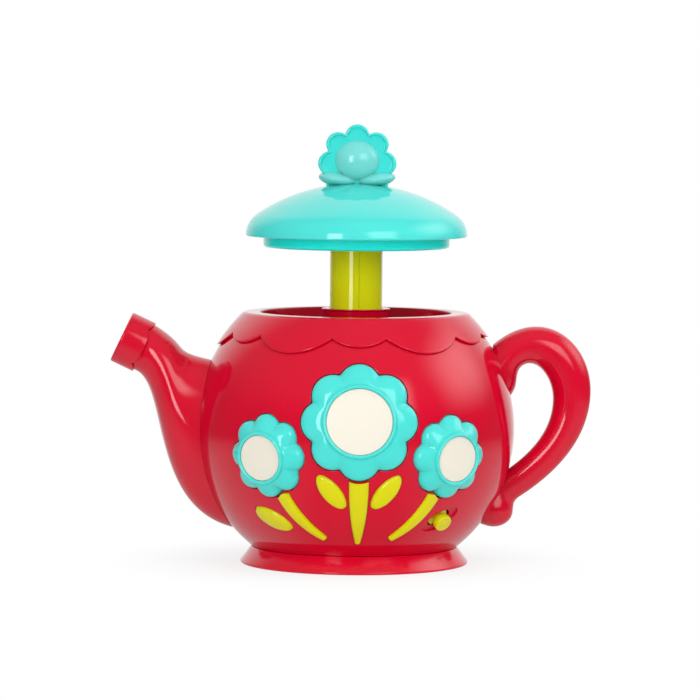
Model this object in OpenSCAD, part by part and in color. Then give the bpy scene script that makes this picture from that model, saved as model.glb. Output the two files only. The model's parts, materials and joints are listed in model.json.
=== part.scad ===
// Toy teapot with a sprung pump lid, three flower push buttons and a power slider.
// Millimetres. The origin is on the body's axis at table height.
// The front with the flowers faces -Y, the spout points to -X and the handle to +X.

/* [Body] */
// Radius of the body at its widest level
body_r = 76.5; // [74:0.5:80]
// Radius of the arc that draws the body in below its widest level
belly_r = 71.5; // [70:0.5:73.5]
// Wall of the two moulded body halves
wall = 2.6; // [2.2:0.1:3]

/* [Foot] */
// Height of the flared foot
foot_h = 8.2; // [7.5:0.1:10]
// Radius of the body where it meets the foot
waist_r = 49.3; // [48:0.1:51]
// Step from the body out to the foot's top
foot_step = 0.3; // [0.2:0.1:1]
// Spread of the foot from its top down to the table
foot_flare = 5; // [4:0.1:7]
// Rounding of the foot's lower edge
foot_round = 1.7; // [1.2:0.1:2.5]
// Hollow of the foot's flank
foot_hollow = 1.2; // [0.3:0.1:1.5]

/* [Collar] */
// Radius of the well inside the rim
well_r = 45.8; // [44:0.1:47]
// Width of the rim around the well
rim_w = 8.1; // [7:0.1:10]
// Depth of the well below the rim
well_depth = 18; // [14:0.5:22]
// Thickness of the scalloped skirt outside the body
hem_proud = 1.3; // [1:0.1:1.8]
// Distance from the rim down to the points between the scallops
hem_drop = 9; // [7:0.5:11]
// Depth of the wide scallops
wide_scallop = 6.8; // [5:0.1:8]
// Depth of the narrow scallops
narrow_scallop = 3.6; // [2.5:0.1:4.5]

/* [Lid] */
// Radius of the lid's brim
lid_r = 53.2; // [51:0.1:56]
// Height of the lid's dome above its brim
lid_h = 25.3; // [23:0.1:28]
// Radius of the dome's shoulder near the brim
shoulder_r = 13; // [11:0.5:15]
// Wall of the dome
lid_wall = 2.3; // [1.8:0.1:3]
// Travel of the lid from raised to shut
lid_travel = 36; // [28:0.5:37]
// Radius of the plug under the lid
plug_r = 44.7; // [42:0.1:45]
// Height of the plug under the brim
plug_h = 5.4; // [4:0.1:7]

/* [Knob] */
// Outer radius of the flower plate on the lid
knob_r = 18.7; // [16:0.1:21]
// Radius of one lobe of the flower plate
knob_lobe_r = 5.8; // [5.3:0.1:6.5]
// Thickness of the flower plate
knob_t = 9; // [7:0.5:12]
// Radius of the ball in the middle of the plate
ball_r = 10.5; // [9:0.1:12]
// Height of the plate's middle above the dome's top
knob_lift = 9.6; // [8:0.1:12]

/* [Post] */
// Radius of the lid's post
post_r = 12.6; // [11:0.1:14]
// Wall of the guide tube around the post
tube_wall = 2.6; // [2:0.1:3.5]
// Height of the guide tube's lip above the rim
tube_proud = 1.9; // [1:0.1:3]
// Turns of the lid spring
spring_turns = 8; // [6:1:10]
// Wire radius of the lid spring
wire_r = 0.8; // [0.5:0.1:1]

/* [Flowers] */
// Outer radius of the middle flower
centre_r = 27.1; // [25:0.1:28]
// Radius of one petal of the middle flower
centre_petal_r = 10.1; // [9.2:0.1:11]
// Radius of the disc in the middle flower
centre_disc_r = 15.4; // [13:0.1:16]
// Rise of the middle flower's hub above the body
centre_rise = 1.6; // [1:0.1:3]
// Height angle of the middle flower on the body
centre_el = 7; // [4:0.5:9]
// Outer radius of the side flowers
side_r = 19.6; // [18:0.1:20.5]
// Radius of one petal of the side flowers
side_petal_r = 7.3; // [6.6:0.1:8]
// Radius of the disc in the side flowers
side_disc_r = 10.7; // [9:0.1:11.5]
// Rise of the side flowers' hubs above the body
side_rise = 5; // [3:0.1:6]
// Turn of the side flowers around the body
side_az = 34.6; // [34:0.1:38]
// Height angle of the side flowers
side_el = -6; // [-8:0.5:-4]
// Gap around each flower
flower_gap = 0.8; // [0.5:0.1:1]
// Travel of each flower when it is pressed
press_travel = 2.4; // [1.5:0.1:2.8]

/* [Stems and leaves] */
// Height that stems and leaves stand out of the body
inlay_proud = 1.7; // [1:0.1:2.2]
// Depth of the seats that stems and leaves sit in
inlay_seat = 1; // [0.6:0.1:1.4]
// Length of each leaf
leaf_len = 20.5; // [18:0.1:22]
// Width of each leaf
leaf_w = 9.2; // [8:0.1:10]
// Width of the middle stem at its top
stem_top_w = 9; // [7:0.1:10]
// Width of the side stems at their tops
side_stem_w = 6.4; // [5:0.1:7]
// Width of every stem at its tip
stem_tip_w = 3.2; // [2.6:0.1:4]

/* [Power slider] */
// Length of the leaf-shaped dish around the slider
dish_len = 20; // [19:0.1:22]
// Width of the dish
dish_w = 9.8; // [9:0.1:11]
// Depth of the dish
dish_depth = 1.4; // [0.8:0.1:1.6]
// Radius of the slider's button
slide_r = 4.5; // [4:0.1:5]
// Travel of the slider to each side
slide_travel = 3; // [2:0.1:3.2]

/* [Spout] */
// Distance that the spout's mouth stands out from the body's widest level
spout_out = 35.8; // [30:0.1:41]
// Height of the mouth's middle above the body's widest level
mouth_rise = 43.7; // [40:0.1:48]
// Tilt of the mouth above level
mouth_tilt = 25.4; // [20:0.1:32]
// Radius of the collar on the spout's tip
tip_r = 12.8; // [11.5:0.1:14]
// Length of the collar
tip_len = 12.3; // [10:0.1:14]
// Step from the collar down to the neck
tip_step = 0.8; // [0.4:0.1:1.5]
// Half width of the spout where it meets the body
spout_half_w = 15.5; // [13.5:0.1:18]

/* [Handle] */
// Distance that the handle stands out from the body's widest level
handle_out = 36.8; // [32:0.1:42]
// Height of the handle's top above the body's widest level
handle_top = 49.7; // [45:0.1:53]
// Thickness of the handle across its outer bend
handle_grip = 18.2; // [15:0.1:20]
// Radius of the curled tail under the handle's lower end
tail_r = 8.5; // [7.5:0.1:10]

/* [Hidden] */
$fn = 96;
red = "#c9203c";
turquoise = "#5fdcd6";
lime = "#c8d22d";
cream = "#f2eee4";
steel = "#b8bcc0";
rubber_grey = "#5a5d62";
board_green = "#2f6b3c";
black = "#2b2b2d";

// Cuts run past the faces they open by this much
overrun = 2;
// Larger than anything in the model
far = 4 * body_r;
// Gap of a fixed seat, of two moulded edges and of moving pieces
seat_clear = 0.15;
seam = 0.2;
run_clear = 0.35;
stop_clear = 0.3;

// Body levels
belly_in = body_r - belly_r;
shell_low = foot_h + seam;
body_z = shell_low + sqrt(pow(belly_r, 2) - pow(waist_r - belly_in, 2));
foot_top_r = waist_r + foot_step;
foot_r = foot_top_r + foot_flare;
lip_r = belly_in + sqrt(pow(belly_r - wall, 2) - pow(body_z - shell_low, 2)) - seat_clear;
hem_out_r = body_r + hem_proud;
rim_z = body_z + sqrt(pow(hem_out_r, 2) - pow(well_r + rim_w, 2));
rim_t = 2.6;
rim_round = 3.4;
shell_top = rim_z - rim_t - seam;
hem_z = rim_z - hem_drop;
hem_r = sqrt(pow(hem_out_r, 2) - pow(hem_z - body_z, 2));
scallop_pairs = 6;
narrow_turn = 24;
wide_turn = 360 / scallop_pairs - narrow_turn;

// Lid levels, raised as in use
lid_z = rim_z + stop_clear + lid_travel;
hub_clear = 0.8;
hub_z = lid_z + tube_proud + hub_clear;
hub_t = 2.6;
crown_r = (pow(lid_r, 2) + pow(lid_h, 2) - 2 * lid_r * shoulder_r) / (2 * lid_h - 2 * shoulder_r);
knob_z = lid_z + lid_h + knob_lift;
knob_boss_r = 5;
knob_edge_w = 1.8;
knob_edge_h = 1.2;
knob_leaf_len = 17;
knob_leaf_w = 15;
knob_leaf_t = 6.4;
knob_leaf_out = 10.4;
knob_leaf_down = 7.6;
knob_leaf_tilt = 8;
plate_t = 2;
brim_inset = 0.2;

// Guide tube, post and spring
bore_r = post_r + run_clear;
tube_out_r = bore_r + tube_wall;
tube_lip = 0.8;
well_floor = rim_z - well_depth;
well_wall = 2.2;
tube_below = 15;
tube_low = well_floor - tube_below;
ring_t = 2.2;
ring_lip = 1.6;
ring_groove = 1;
post_below_ring = 2;
post_low = tube_low - stop_clear - ring_t - post_below_ring;
post_wall = 2.6;
post_bore_r = post_r - post_wall;
screw_bore_r = post_bore_r / 2;
post_web = 3;
spring_hold = 16;
spring_top = post_low + spring_hold;
spring_r = post_bore_r - 2 * wire_r;

// Battery box under the spring
cell_r = 7.25;
cell_len = 50.5;
cells = 3;
cell_nub_share = 0.34;
contact_h_share = 1.6;
cell_room = 0.4;
contact_t = 0.8;
contact_gap = 1.2;
box_wall = 2;
floor_z = 3.4;
floor_t = 2.4;
door_t = floor_t;
box_in_x = cell_len + 2 * contact_gap;
box_in_y = cells * 2 * (cell_r + cell_room / 2);
box_top = floor_z + floor_t + 2 * cell_r + cell_room;
spring_foot = box_top + box_wall;
spring_boss_r = spring_r - wire_r - run_clear;
spring_boss_h = 4;
door_lip = 1.6;
door_tab = 9;

// Screws
screw_r = 1.5;
screw_hole_r = 1.7;
screw_head_r = 3;
screw_head_h = 2.2;
screw_len = 16;
boss_r = 3.8;
case_screw_share = 0.68;
case_screw_up_share = 0.333;
case_screw_down_share = 0.4;
case_screw_x = case_screw_share * body_r;
case_screw_up = case_screw_up_share * body_r;
case_screw_down = case_screw_down_share * body_r;
case_screw_deep = 8;
base_screw_in = 1.8;
base_screw_r = lip_r - base_screw_in;
base_boss_h = 14;
rib_t = 2;

// Flower buttons, measured inwards from the body along each button's axis
petals = 8;
petal_proud = 1.3;
centre_dome_share = 1.75;
side_dome_share = 1.3;
ring_w = 1.8;
disc_t = 2;
disc_proud = 0.3;
cap_floor = 1.8;
hub_flare_share = 0.45;
plunger_r = 3;
plunger_depth = 14;
hook_w = 7;
hook_t = 1.6;
hook_grip = 1.5;
pad_gap = 0.2;
pad_solid = 0.8;
pad_h = press_travel + pad_solid;
pad_flange = 0.8;
pad_r = 5;
board_t = 1.6;
board_r = 9;
carrier_t = 2.4;
carrier_z = plunger_depth + pad_gap + pad_h + board_t;
carrier_r = body_r - carrier_z;
carrier_seat = 1.2;
carrier_turn = 48;
carrier_down = 27;
carrier_up = 22;
pillar_r = 3;
pillars = [[-17, -25], [17, -25], [-31, 20], [31, 20]];

// Stems and leaves on the belly
stem_el = -27;
stem_up = 16.2;
stem_down = 18.5;
side_stem_az = 23;
side_stem_el = -30;
side_stem_len = 20;
side_stem_shares = [[-0.48, 0.75], [-0.2, -0.03], [0.395, -0.645]];
stem_taper = 1.6;
centre_leaf_az = 10.2;
centre_leaf_el = -19.6;
centre_leaf_turn = -53.5;
side_leaf_az = 37;
side_leaf_el = -32.5;
side_leaf_turn = -34;
leaf_round_share = 0.12;

// Power slider and its switch, measured inwards from the belly
slide_az = 36.7;
slide_el = -32.6;
slide_turn = 31;
slide_neck_r = 2.6;
slide_lift = 0.3;
slide_dome_share = 1.3;
slide_h = 3.6;
slot_clear = 0.4;
keeper_len = 11;
keeper_w = 8;
keeper_t = 1.2;
keeper_depth = wall + keeper_t;
tongue_r = 1.2;
switch_gap = 1.2;
switch_depth = keeper_depth + keeper_t + switch_gap;
switch_len = 14;
switch_w = 6.5;
switch_h = 5;
ear_len = 27;
ear_t = 1.4;
ear_pillar_r = 2;
ear_pillar_x = 11.3;

// Speaker and main board behind the back half
speaker_el = -10;
speaker_r = 20;
speaker_frame_t = 1.6;
speaker_cone_h = 5;
speaker_magnet_r = 10;
speaker_magnet_h = 6;
speaker_back_r = 15;
speaker_ring = 2;
speaker_depth = body_r - sqrt(pow(body_r - wall, 2) - pow(speaker_r + speaker_ring, 2)) + seat_clear;
grille_rings = 3;
grille_pitch = 5;
grille_hole_r = 1.3;
main_y = 42;
main_w = 60;
main_h = 40;
main_inset = 4;
chip_w = 12;
chip_t = 2;
can_r = 4;
can_h = 9;

// Spout: two edge curves from the body to the neck's end
neck_r = tip_r - tip_step;
spigot_r = 9.8;
spigot_len = 5;
mouth_r = 10;
mouth_deep = 6;
tip_round = 1.2;
spout_upper_root_shares = [-0.784, 0.405];
spout_lower_root_shares = [-0.68, -0.641];
spout_upper_bend_shares = [[0.895, 0.314], [0.453, 0.32]];
spout_lower_bend_shares = [[0.9, 0.07], [0.672, 0.93]];
spout_rings = 15;
spout_sides = 28;
spout_swell_share = 0.55;
spout_peg_r = 9;
spout_peg_z = 2;

// Handle: outer and inner edge curves in two runs that meet at the outer bend
handle_outer_x_shares = [[-0.515, 0.234, 1, 1], [1, 1, 0.518, -0.237]];
handle_outer_z_shares = [[0.645, 1.334, 0.895, 0.379], [0.379, -0.102, -0.498, -0.789]];
handle_inner_x_shares = [[-0.169, 0.017, 1, 1], [1, 1, 0.412, -0.819]];
handle_inner_z_shares = [[0.262, 0.891, 0.619, 0.297], [0.297, -0.016, -0.289, -0.543]];
handle_rings = 16;
handle_sides = 20;
handle_depth_share = 0.92;
tail_x_share = 0.867;
tail_z_share = -0.5;
handle_peg_r = 5;
handle_peg_up_share = 0.58;
handle_peg_down_share = -0.62;
peg_out = 4;
peg_lip = 1.6;
peg_lip_t = 1.6;

// Depth of a sphere's cap of radius r at distance d from its axis
function sag(r, d) = r - sqrt(r * r - d * d);
// Depth of the shell's inner face below the body's surface at distance d
function inner_depth(d) = body_r - sqrt(pow(body_r - wall, 2) - d * d);
// How far the belly lies inside the sphere at an angle below the widest level
function belly_dip(down) = down < 0 ? 0
    : body_r - belly_in * cos(down) - sqrt(pow(belly_r, 2) - pow(belly_in * sin(down), 2));
function bezier(p, t) = pow(1 - t, 3) * p[0] + 3 * pow(1 - t, 2) * t * p[1]
                        + 3 * (1 - t) * t * t * p[2] + pow(t, 3) * p[3];
// Four curve points between two ends, with the bends given as shares of the way
function between(a, b, shares) =
    [a, for (s = shares) [a[0] + s[0] * (b[0] - a[0]), a[1] + s[1] * (b[1] - a[1])], b];

// Local frame on the body's upper sphere: +Z outwards, +X to the right, +Y up
module at_body(az, el)
    translate([0, 0, body_z]) rotate([90 - el, 0, az]) translate([0, 0, body_r]) children();
// The same on the belly's arc
module at_belly(az, el)
    translate([0, 0, body_z]) rotate([0, 0, az]) translate([0, -belly_in, 0])
        rotate([90 - el, 0, 0]) translate([0, 0, belly_r]) children();

module half_space(side) translate([-far, side < 0 ? -far : 0, -far]) cube([2 * far, far, 2 * far]);

// Half section of the body, grown by off
module body_2d(off) {
    intersection() {
        translate([0, body_z]) circle(r = body_r + off);
        translate([0, body_z]) square(far);
    }
    intersection() {
        translate([belly_in, body_z]) circle(r = belly_r + off);
        square([far, body_z]);
    }
}
module body_solid(off) rotate_extrude() body_2d(off);
module shell_2d() intersection() {
    difference() {
        body_2d(0);
        body_2d(-wall);
    }
    translate([0, shell_low]) square([far, shell_top - shell_low]);
}

// Flower outline with round petals, grown by off
module flower_2d(r, petal_r, off) {
    circle(r = r - petal_r + off);
    for (i = [0 : petals - 1])
        rotate(90 + i * 360 / petals) translate([r - petal_r, 0]) circle(r = petal_r + off);
}
// Leaf outline along X with rounded ends
module leaf_2d(len, w, off) {
    steps = 36;
    polygon([for (i = [0 : steps - 1]) let (a = i * 360 / steps)
        [(len / 2 + off) * cos(a), (w / 2 + off) * sin(a) * (1 - leaf_round_share * pow(cos(a), 2))]]);
}
// Stem outline along a bent line: wide start, round narrow tip
module stem_2d(line, w, off) {
    steps = 14;
    tip_steps = 8;
    half_tip = stem_tip_w / 2 + off;
    function at(t) = pow(1 - t, 2) * line[0] + 2 * (1 - t) * t * line[1] + t * t * line[2];
    function along(t) = let (d = (1 - t) * (line[1] - line[0]) + t * (line[2] - line[1])) d / norm(d);
    function half_w(t) = half_tip + (w - stem_tip_w) / 2 * pow(1 - t, stem_taper);
    function side(t, s) = let (d = along(t)) at(t) + s * half_w(t) * [-d[1], d[0]];
    turn = atan2(along(1)[1], along(1)[0]);
    polygon([for (i = [0 : steps]) side(i / steps, 1),
             for (i = [1 : tip_steps - 1]) let (a = turn + 90 - i * 180 / tip_steps)
                 line[2] + half_tip * [cos(a), sin(a)],
             for (i = [steps : -1 : 0]) side(i / steps, -1)]);
}
centre_stem_line = [[0, stem_up], [0, 0], [0, -stem_down]];
side_stem_line = side_stem_len * side_stem_shares;
// Prism through the wall that an inlay outline is cut from
module inlay_prism() translate([0, 0, -inlay_height]) linear_extrude(2 * inlay_height) children();
inlay_height = leaf_len / 2;

module stem_prism(side, off) {
    if (side == 0) at_belly(0, stem_el) inlay_prism() stem_2d(centre_stem_line, stem_top_w, off);
    else mirror([side > 0 ? 1 : 0, 0, 0])
        at_belly(-side_stem_az, side_stem_el) inlay_prism() stem_2d(side_stem_line, side_stem_w, off);
}
module leaf_prism(az, el, turn, off)
    at_belly(az, el) rotate(turn) inlay_prism() leaf_2d(leaf_len, leaf_w, off);
module inlay_prisms(off) {
    for (side = [-1, 0, 1]) stem_prism(side, off);
    leaf_prism(-centre_leaf_az, centre_leaf_el, centre_leaf_turn, off);
    leaf_prism(centre_leaf_az, centre_leaf_el, -centre_leaf_turn, off);
    leaf_prism(-side_leaf_az, side_leaf_el, side_leaf_turn, off);
}
// Prisms of the three flowers, grown by off
module flower_prism(r, petal_r, off)
    translate([0, 0, -plunger_depth]) linear_extrude(2 * plunger_depth) flower_2d(r, petal_r, off);
module flower_prisms(off) {
    at_body(0, centre_el) flower_prism(centre_r, centre_petal_r, off);
    for (side = [-1, 1]) at_body(side * side_az, side_el) flower_prism(side_r, side_petal_r, off);
}
// A stem or leaf seated in the body, clear of the flowers
module inlay() color(lime) difference() {
    intersection() {
        children();
        body_solid(inlay_proud);
    }
    body_solid(seat_clear - inlay_seat);
    flower_prisms(2 * flower_gap);
}

// Power slider's local frame
module at_slide() at_belly(slide_az, slide_el) rotate(slide_turn) children();

// Spout and handle sections are ellipses between two edge points, joined into one skin
function section(lower, upper, half_w, sides) =
    let (mid = (lower + upper) / 2, half = (upper - lower) / 2)
    [for (i = [0 : sides - 1]) let (a = i * 360 / sides)
        [mid[0] + half[0] * cos(a), half_w * sin(a), mid[1] + half[1] * cos(a)]];
module skin(rings) {
    n = len(rings[0]);
    last = len(rings) - 1;
    polyhedron([for (r = rings) each r],
        [[for (i = [0 : n - 1]) i],
         for (k = [0 : last - 1], i = [0 : n - 1])
             each [[k * n + i, (k + 1) * n + i, (k + 1) * n + (i + 1) % n],
                   [k * n + i, (k + 1) * n + (i + 1) % n, k * n + (i + 1) % n]],
         [for (i = [n - 1 : -1 : 0]) last * n + i]]);
}
mouth = [-body_r - spout_out, body_z + mouth_rise];
mouth_along = [-cos(mouth_tilt), sin(mouth_tilt)];
mouth_across = [sin(mouth_tilt), cos(mouth_tilt)];
neck_end = mouth - tip_len * mouth_along;
module spout_skin() {
    root = [0, body_z];
    upper = between(root + body_r * spout_upper_root_shares,
                    neck_end + neck_r * mouth_across, spout_upper_bend_shares);
    lower = between(root + body_r * spout_lower_root_shares,
                    neck_end - neck_r * mouth_across, spout_lower_bend_shares);
    skin([for (k = [0 : spout_rings]) let (t = k / spout_rings)
        section(bezier(lower, t), bezier(upper, t),
                neck_r + (spout_half_w - neck_r) * pow(1 - t, spout_swell_share), spout_sides)]);
}
// Frame at the spout's mouth, +Z out of it
module at_mouth() translate([mouth[0], 0, mouth[1]]) rotate([0, mouth_tilt - 90, 0]) children();

function handle_edge(x_shares, z_shares, out, run) =
    [for (k = [0 : 3]) [body_r + x_shares[run][k] * out, body_z + z_shares[run][k] * handle_top]];
module handle_skin() {
    inner_out = handle_out - handle_grip;
    skin([for (run = [0, 1], k = [run : handle_rings]) let (t = k / handle_rings,
            outer = bezier(handle_edge(handle_outer_x_shares, handle_outer_z_shares, handle_out, run), t),
            inner = bezier(handle_edge(handle_inner_x_shares, handle_inner_z_shares, inner_out, run), t))
        section(outer, inner, handle_depth_share * norm(outer - inner) / 2, handle_sides)]);
}

// Peg through the body's wall with a lip inside, along X at a height above the widest level
function inner_x(up) = (up < 0 ? belly_in : 0)
    + sqrt(pow((up < 0 ? belly_r : body_r) - wall, 2) - up * up);
function peg_start(up, r) =
    min(inner_x(up + r + peg_lip), inner_x(up - r - peg_lip)) - peg_lip_t - seat_clear;
module wall_peg(side, up, r, grow) {
    x = peg_start(up, r);
    translate([side * x, 0, body_z + up]) rotate([0, side * 90, 0])
        cylinder(r = r + grow, h = inner_x(up) + wall + peg_out - x);
}
module peg_lip_ring(side, up, r)
    translate([side * peg_start(up, r), 0, body_z + up]) rotate([0, side * 90, 0])
        cylinder(r = r + peg_lip, h = peg_lip_t);
handle_peg_up = handle_peg_up_share * handle_top;
handle_peg_down = handle_peg_down_share * handle_top;
module peg_holes() {
    wall_peg(-1, -spout_peg_z, spout_peg_r, seat_clear);
    wall_peg(1, handle_peg_up, handle_peg_r, seat_clear);
    wall_peg(1, handle_peg_down, handle_peg_r, seat_clear);
}

// Screw bosses shared by the two halves, along Y
module along_y(side, x, z) translate([x, 0, z]) rotate([side * -90, 0, 0]) children();
module case_screw_places(side) {
    for (x = [-case_screw_x, case_screw_x], z = [body_z + case_screw_up, body_z - case_screw_down])
        along_y(side, x, z) children();
}
module base_screw_places(turns) for (a = turns) rotate(a) translate([base_screw_r, 0, 0]) children();
// Bosses that the base is screwed to, each with a rib to the wall
module base_bosses(turns) intersection() {
    base_screw_places(turns) {
        translate([0, 0, shell_low]) cylinder(r = boss_r, h = base_boss_h);
        translate([0, -rib_t / 2, shell_low]) cube([body_r - base_screw_r, rib_t, base_boss_h]);
    }
    body_solid(-wall / 2);
}
module base_boss_holes(turns) base_screw_places(turns)
    translate([0, 0, shell_low - overrun]) cylinder(r = screw_hole_r, h = base_boss_h);

// One half of the body with what both halves share
module shell_half(side, turns) {
    intersection() {
        difference() {
            rotate_extrude() shell_2d();
            peg_holes();
        }
        half_space(side);
    }
    intersection() {
        case_screw_places(side) cylinder(r = boss_r, h = body_r);
        body_solid(-wall / 2);
    }
    base_bosses(turns);
}

module front_shell() {
    turns = [225, 315];
    color(red) difference() {
        union() {
            shell_half(-1, turns);
            for (p = pillars) at_body(p[0], p[1])
                translate([0, 0, -carrier_z]) cylinder(r = pillar_r, h = carrier_z - wall / 2);
            at_slide() for (x = [-ear_pillar_x, ear_pillar_x])
                translate([x, 0, -switch_depth]) cylinder(r = ear_pillar_r, h = switch_depth - wall);
        }
        flower_prisms(flower_gap);
        difference() {
            inlay_prisms(seat_clear);
            body_solid(-inlay_seat);
        }
        at_slide() {
            translate([0, 0, -dish_depth]) linear_extrude(dish_depth + overrun) leaf_2d(dish_len, dish_w, 0);
            translate([0, 0, -keeper_depth]) linear_extrude(keeper_depth) slot_2d();
        }
        case_screw_places(-1) translate([0, 0, -overrun]) cylinder(r = screw_hole_r, h = screw_len);
        base_boss_holes(turns);
    }
}
module slot_2d() {
    for (x = [-slide_travel, slide_travel]) translate([x, 0]) circle(r = slide_neck_r + slot_clear);
    square([2 * slide_travel, 2 * (slide_neck_r + slot_clear)], center = true);
}

module back_shell() {
    turns = [45, 135];
    color(red) difference() {
        union() {
            shell_half(1, turns);
            intersection() {
                union() {
                    at_body(180, speaker_el)
                        translate([0, 0, -speaker_depth - speaker_frame_t]) speaker_ring_wall();
                    main_pillars() cylinder(r = pillar_r, h = body_r);
                }
                body_solid(-wall / 2);
            }
        }
        at_body(180, speaker_el)
            grille() translate([0, 0, -speaker_depth])
                cylinder(r = grille_hole_r, h = speaker_depth + overrun);
        case_screw_places(1) {
            translate([0, 0, -overrun]) cylinder(r = screw_hole_r, h = body_r);
            translate([0, 0, case_screw_deep]) cylinder(r = screw_head_r + seat_clear, h = body_r);
        }
        base_boss_holes(turns);
    }
}
module speaker_ring_wall() difference() {
    cylinder(r = speaker_r + seat_clear + speaker_ring, h = speaker_depth);
    translate([0, 0, -overrun]) cylinder(r = speaker_r + seat_clear, h = speaker_depth + 2 * overrun);
}
module main_pillars() {
    dx = main_w / 2 - main_inset;
    dz = main_h / 2 - main_inset;
    for (x = [-dx, dx], z = [-dz, dz])
        translate([0, main_y + board_t, 0]) along_y(1, x, body_z + z) children();
}
module grille() {
    children();
    for (k = [1 : grille_rings - 1], i = [0 : 6 * k - 1])
        rotate(i * 60 / k) translate([k * grille_pitch, 0, 0]) children();
}

// Rim, well, guide tube and scalloped skirt in one moulding
module top_collar() {
    round_x = sqrt(pow(hem_out_r - rim_round, 2) - pow(rim_z - rim_round - body_z, 2));
    round_z = rim_z - rim_round;
    tangent_z = round_z + rim_round * (round_z - body_z) / (hem_out_r - rim_round);
    color(red) {
        rotate_extrude() difference() {
            union() {
                intersection() {
                    body_2d(hem_proud);
                    translate([well_r, rim_z - rim_t]) square([far, rim_t]);
                }
                translate([well_r, well_floor]) square([well_wall, well_depth]);
                translate([bore_r, well_floor - well_wall]) square([well_r + well_wall - bore_r, well_wall]);
                translate([bore_r, tube_low]) square([tube_wall, rim_z + tube_proud - tube_low]);
                translate([bore_r, rim_z + tube_proud - tube_lip]) square([tube_wall + tube_lip, tube_lip]);
            }
            difference() {
                translate([round_x, tangent_z]) square([far, rim_z - tangent_z + overrun]);
                translate([round_x, round_z]) circle(r = rim_round);
            }
        }
        intersection() {
            rotate_extrude() intersection() {
                difference() {
                    body_2d(hem_proud);
                    body_2d(seat_clear);
                }
                translate([0, hem_z - wide_scallop - overrun])
                    square([far, hem_drop + wide_scallop + overrun - rim_t]);
            }
            union() {
                translate([-far, -far, hem_z]) cube([2 * far, 2 * far, far]);
                for (i = [0 : scallop_pairs - 1]) {
                    rotate(i * 360 / scallop_pairs) scallop(narrow_turn, narrow_scallop);
                    rotate((i + 0.5) * 360 / scallop_pairs) scallop(wide_turn, wide_scallop);
                }
            }
        }
    }
}
// Round tongue that ends the skirt: a level cylinder pointing at the front
module scallop(turn, drop) {
    half = hem_r * sin(turn / 2);
    r = (half * half + drop * drop) / (2 * drop);
    translate([0, -hem_r / 2, hem_z - drop + r]) rotate([90, 0, 0]) cylinder(r = r, h = hem_r);
}

// Flared foot with the floor and the battery box
module base() {
    centre = [foot_r - foot_round, foot_round];
    top = [foot_top_r, foot_h];
    d = norm(top - centre);
    turn = atan2(top[1] - centre[1], top[0] - centre[0]) - acos(foot_round / d);
    touch = centre + foot_round * [cos(turn), sin(turn)];
    flank_r = (pow(norm(top - touch) / 2, 2) + pow(foot_hollow, 2)) / (2 * foot_hollow);
    flank = (touch + top) / 2 + (flank_r - foot_hollow) * [cos(turn), sin(turn)];
    foot_in = foot_top_r - 2 * wall;
    lip_h = 2 * seam + wall;
    color(red) difference() {
        union() {
            rotate_extrude() {
                difference() {
                    union() {
                        polygon([[foot_in, 0], [centre[0], 0], touch, top, [foot_in, foot_h]]);
                        translate(centre) circle(r = foot_round);
                    }
                    translate(flank) circle(r = flank_r);
                }
                translate([0, floor_z]) square([foot_in, floor_t]);
                difference() {
                    translate([lip_r - wall, floor_z]) square([wall, foot_h + lip_h - floor_z]);
                    body_2d_outside();
                }
            }
            box([box_in_x + 2 * box_wall, box_in_y + 2 * box_wall], floor_z, spring_foot);
            translate([0, 0, spring_foot - box_wall])
                cylinder(r = spring_boss_r, h = box_wall + spring_boss_h);
            base_screw_places(quarter_turns)
                translate([0, 0, floor_z]) cylinder(r = boss_r + seam, h = foot_h - floor_z);
            translate([box_in_x / 2, -door_tab, floor_z])
                cube([box_wall + door_tab, 2 * door_tab, 2 * floor_t]);
        }
        box([box_in_x, box_in_y], floor_z + floor_t - overrun, box_top);
        box([box_in_x + 2 * door_lip, box_in_y], floor_z - overrun, floor_z + door_t + seam);
        door_tab_space(seam);
        base_screw_places(quarter_turns) {
            cylinder(r = screw_hole_r, h = far);
            translate([0, 0, -overrun])
                cylinder(r = screw_head_r + seat_clear, h = overrun + floor_z + screw_head_h);
            translate([0, 0, foot_h]) cylinder(r = boss_r + seam, h = far);
        }
        translate([door_screw_x, 0, 0]) cylinder(r = screw_hole_r, h = floor_z + 2 * floor_t - board_t);
    }
}
quarter_turns = [45 : 90 : 315];
door_screw_x = box_in_x / 2 + box_wall + door_tab / 2;
module body_2d_outside() difference() {
    translate([0, shell_low]) square([far, far]);
    body_2d(-wall - seat_clear);
}
module box(size, low, high) translate([-size[0] / 2, -size[1] / 2, low]) cube([size[0], size[1], high - low]);
module door_tab_space(grow)
    translate([0, -door_tab / 2 - grow, floor_z - (grow > 0 ? overrun : 0)])
        cube([box_in_x / 2 + box_wall + door_tab + grow - seam, door_tab + 2 * grow,
              door_t + (grow > 0 ? overrun + grow : 0)]);

module battery_door() color(red) difference() {
    union() {
        box([box_in_x + 2 * door_lip - 2 * seam, box_in_y - 2 * seam], floor_z, floor_z + door_t);
        door_tab_space(0);
    }
    translate([door_screw_x, 0, floor_z - overrun]) {
        cylinder(r = screw_hole_r, h = far);
        cylinder(r = screw_head_r + seat_clear, h = overrun + door_t / 2);
    }
}

// Body and skirt with the gap that the spout and the handle keep to them
module pot_outside() rotate_extrude() {
    body_2d(seat_clear);
    intersection() {
        body_2d(hem_proud + seat_clear);
        translate([0, hem_z - wide_scallop - seat_clear]) square(far);
    }
}
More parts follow.
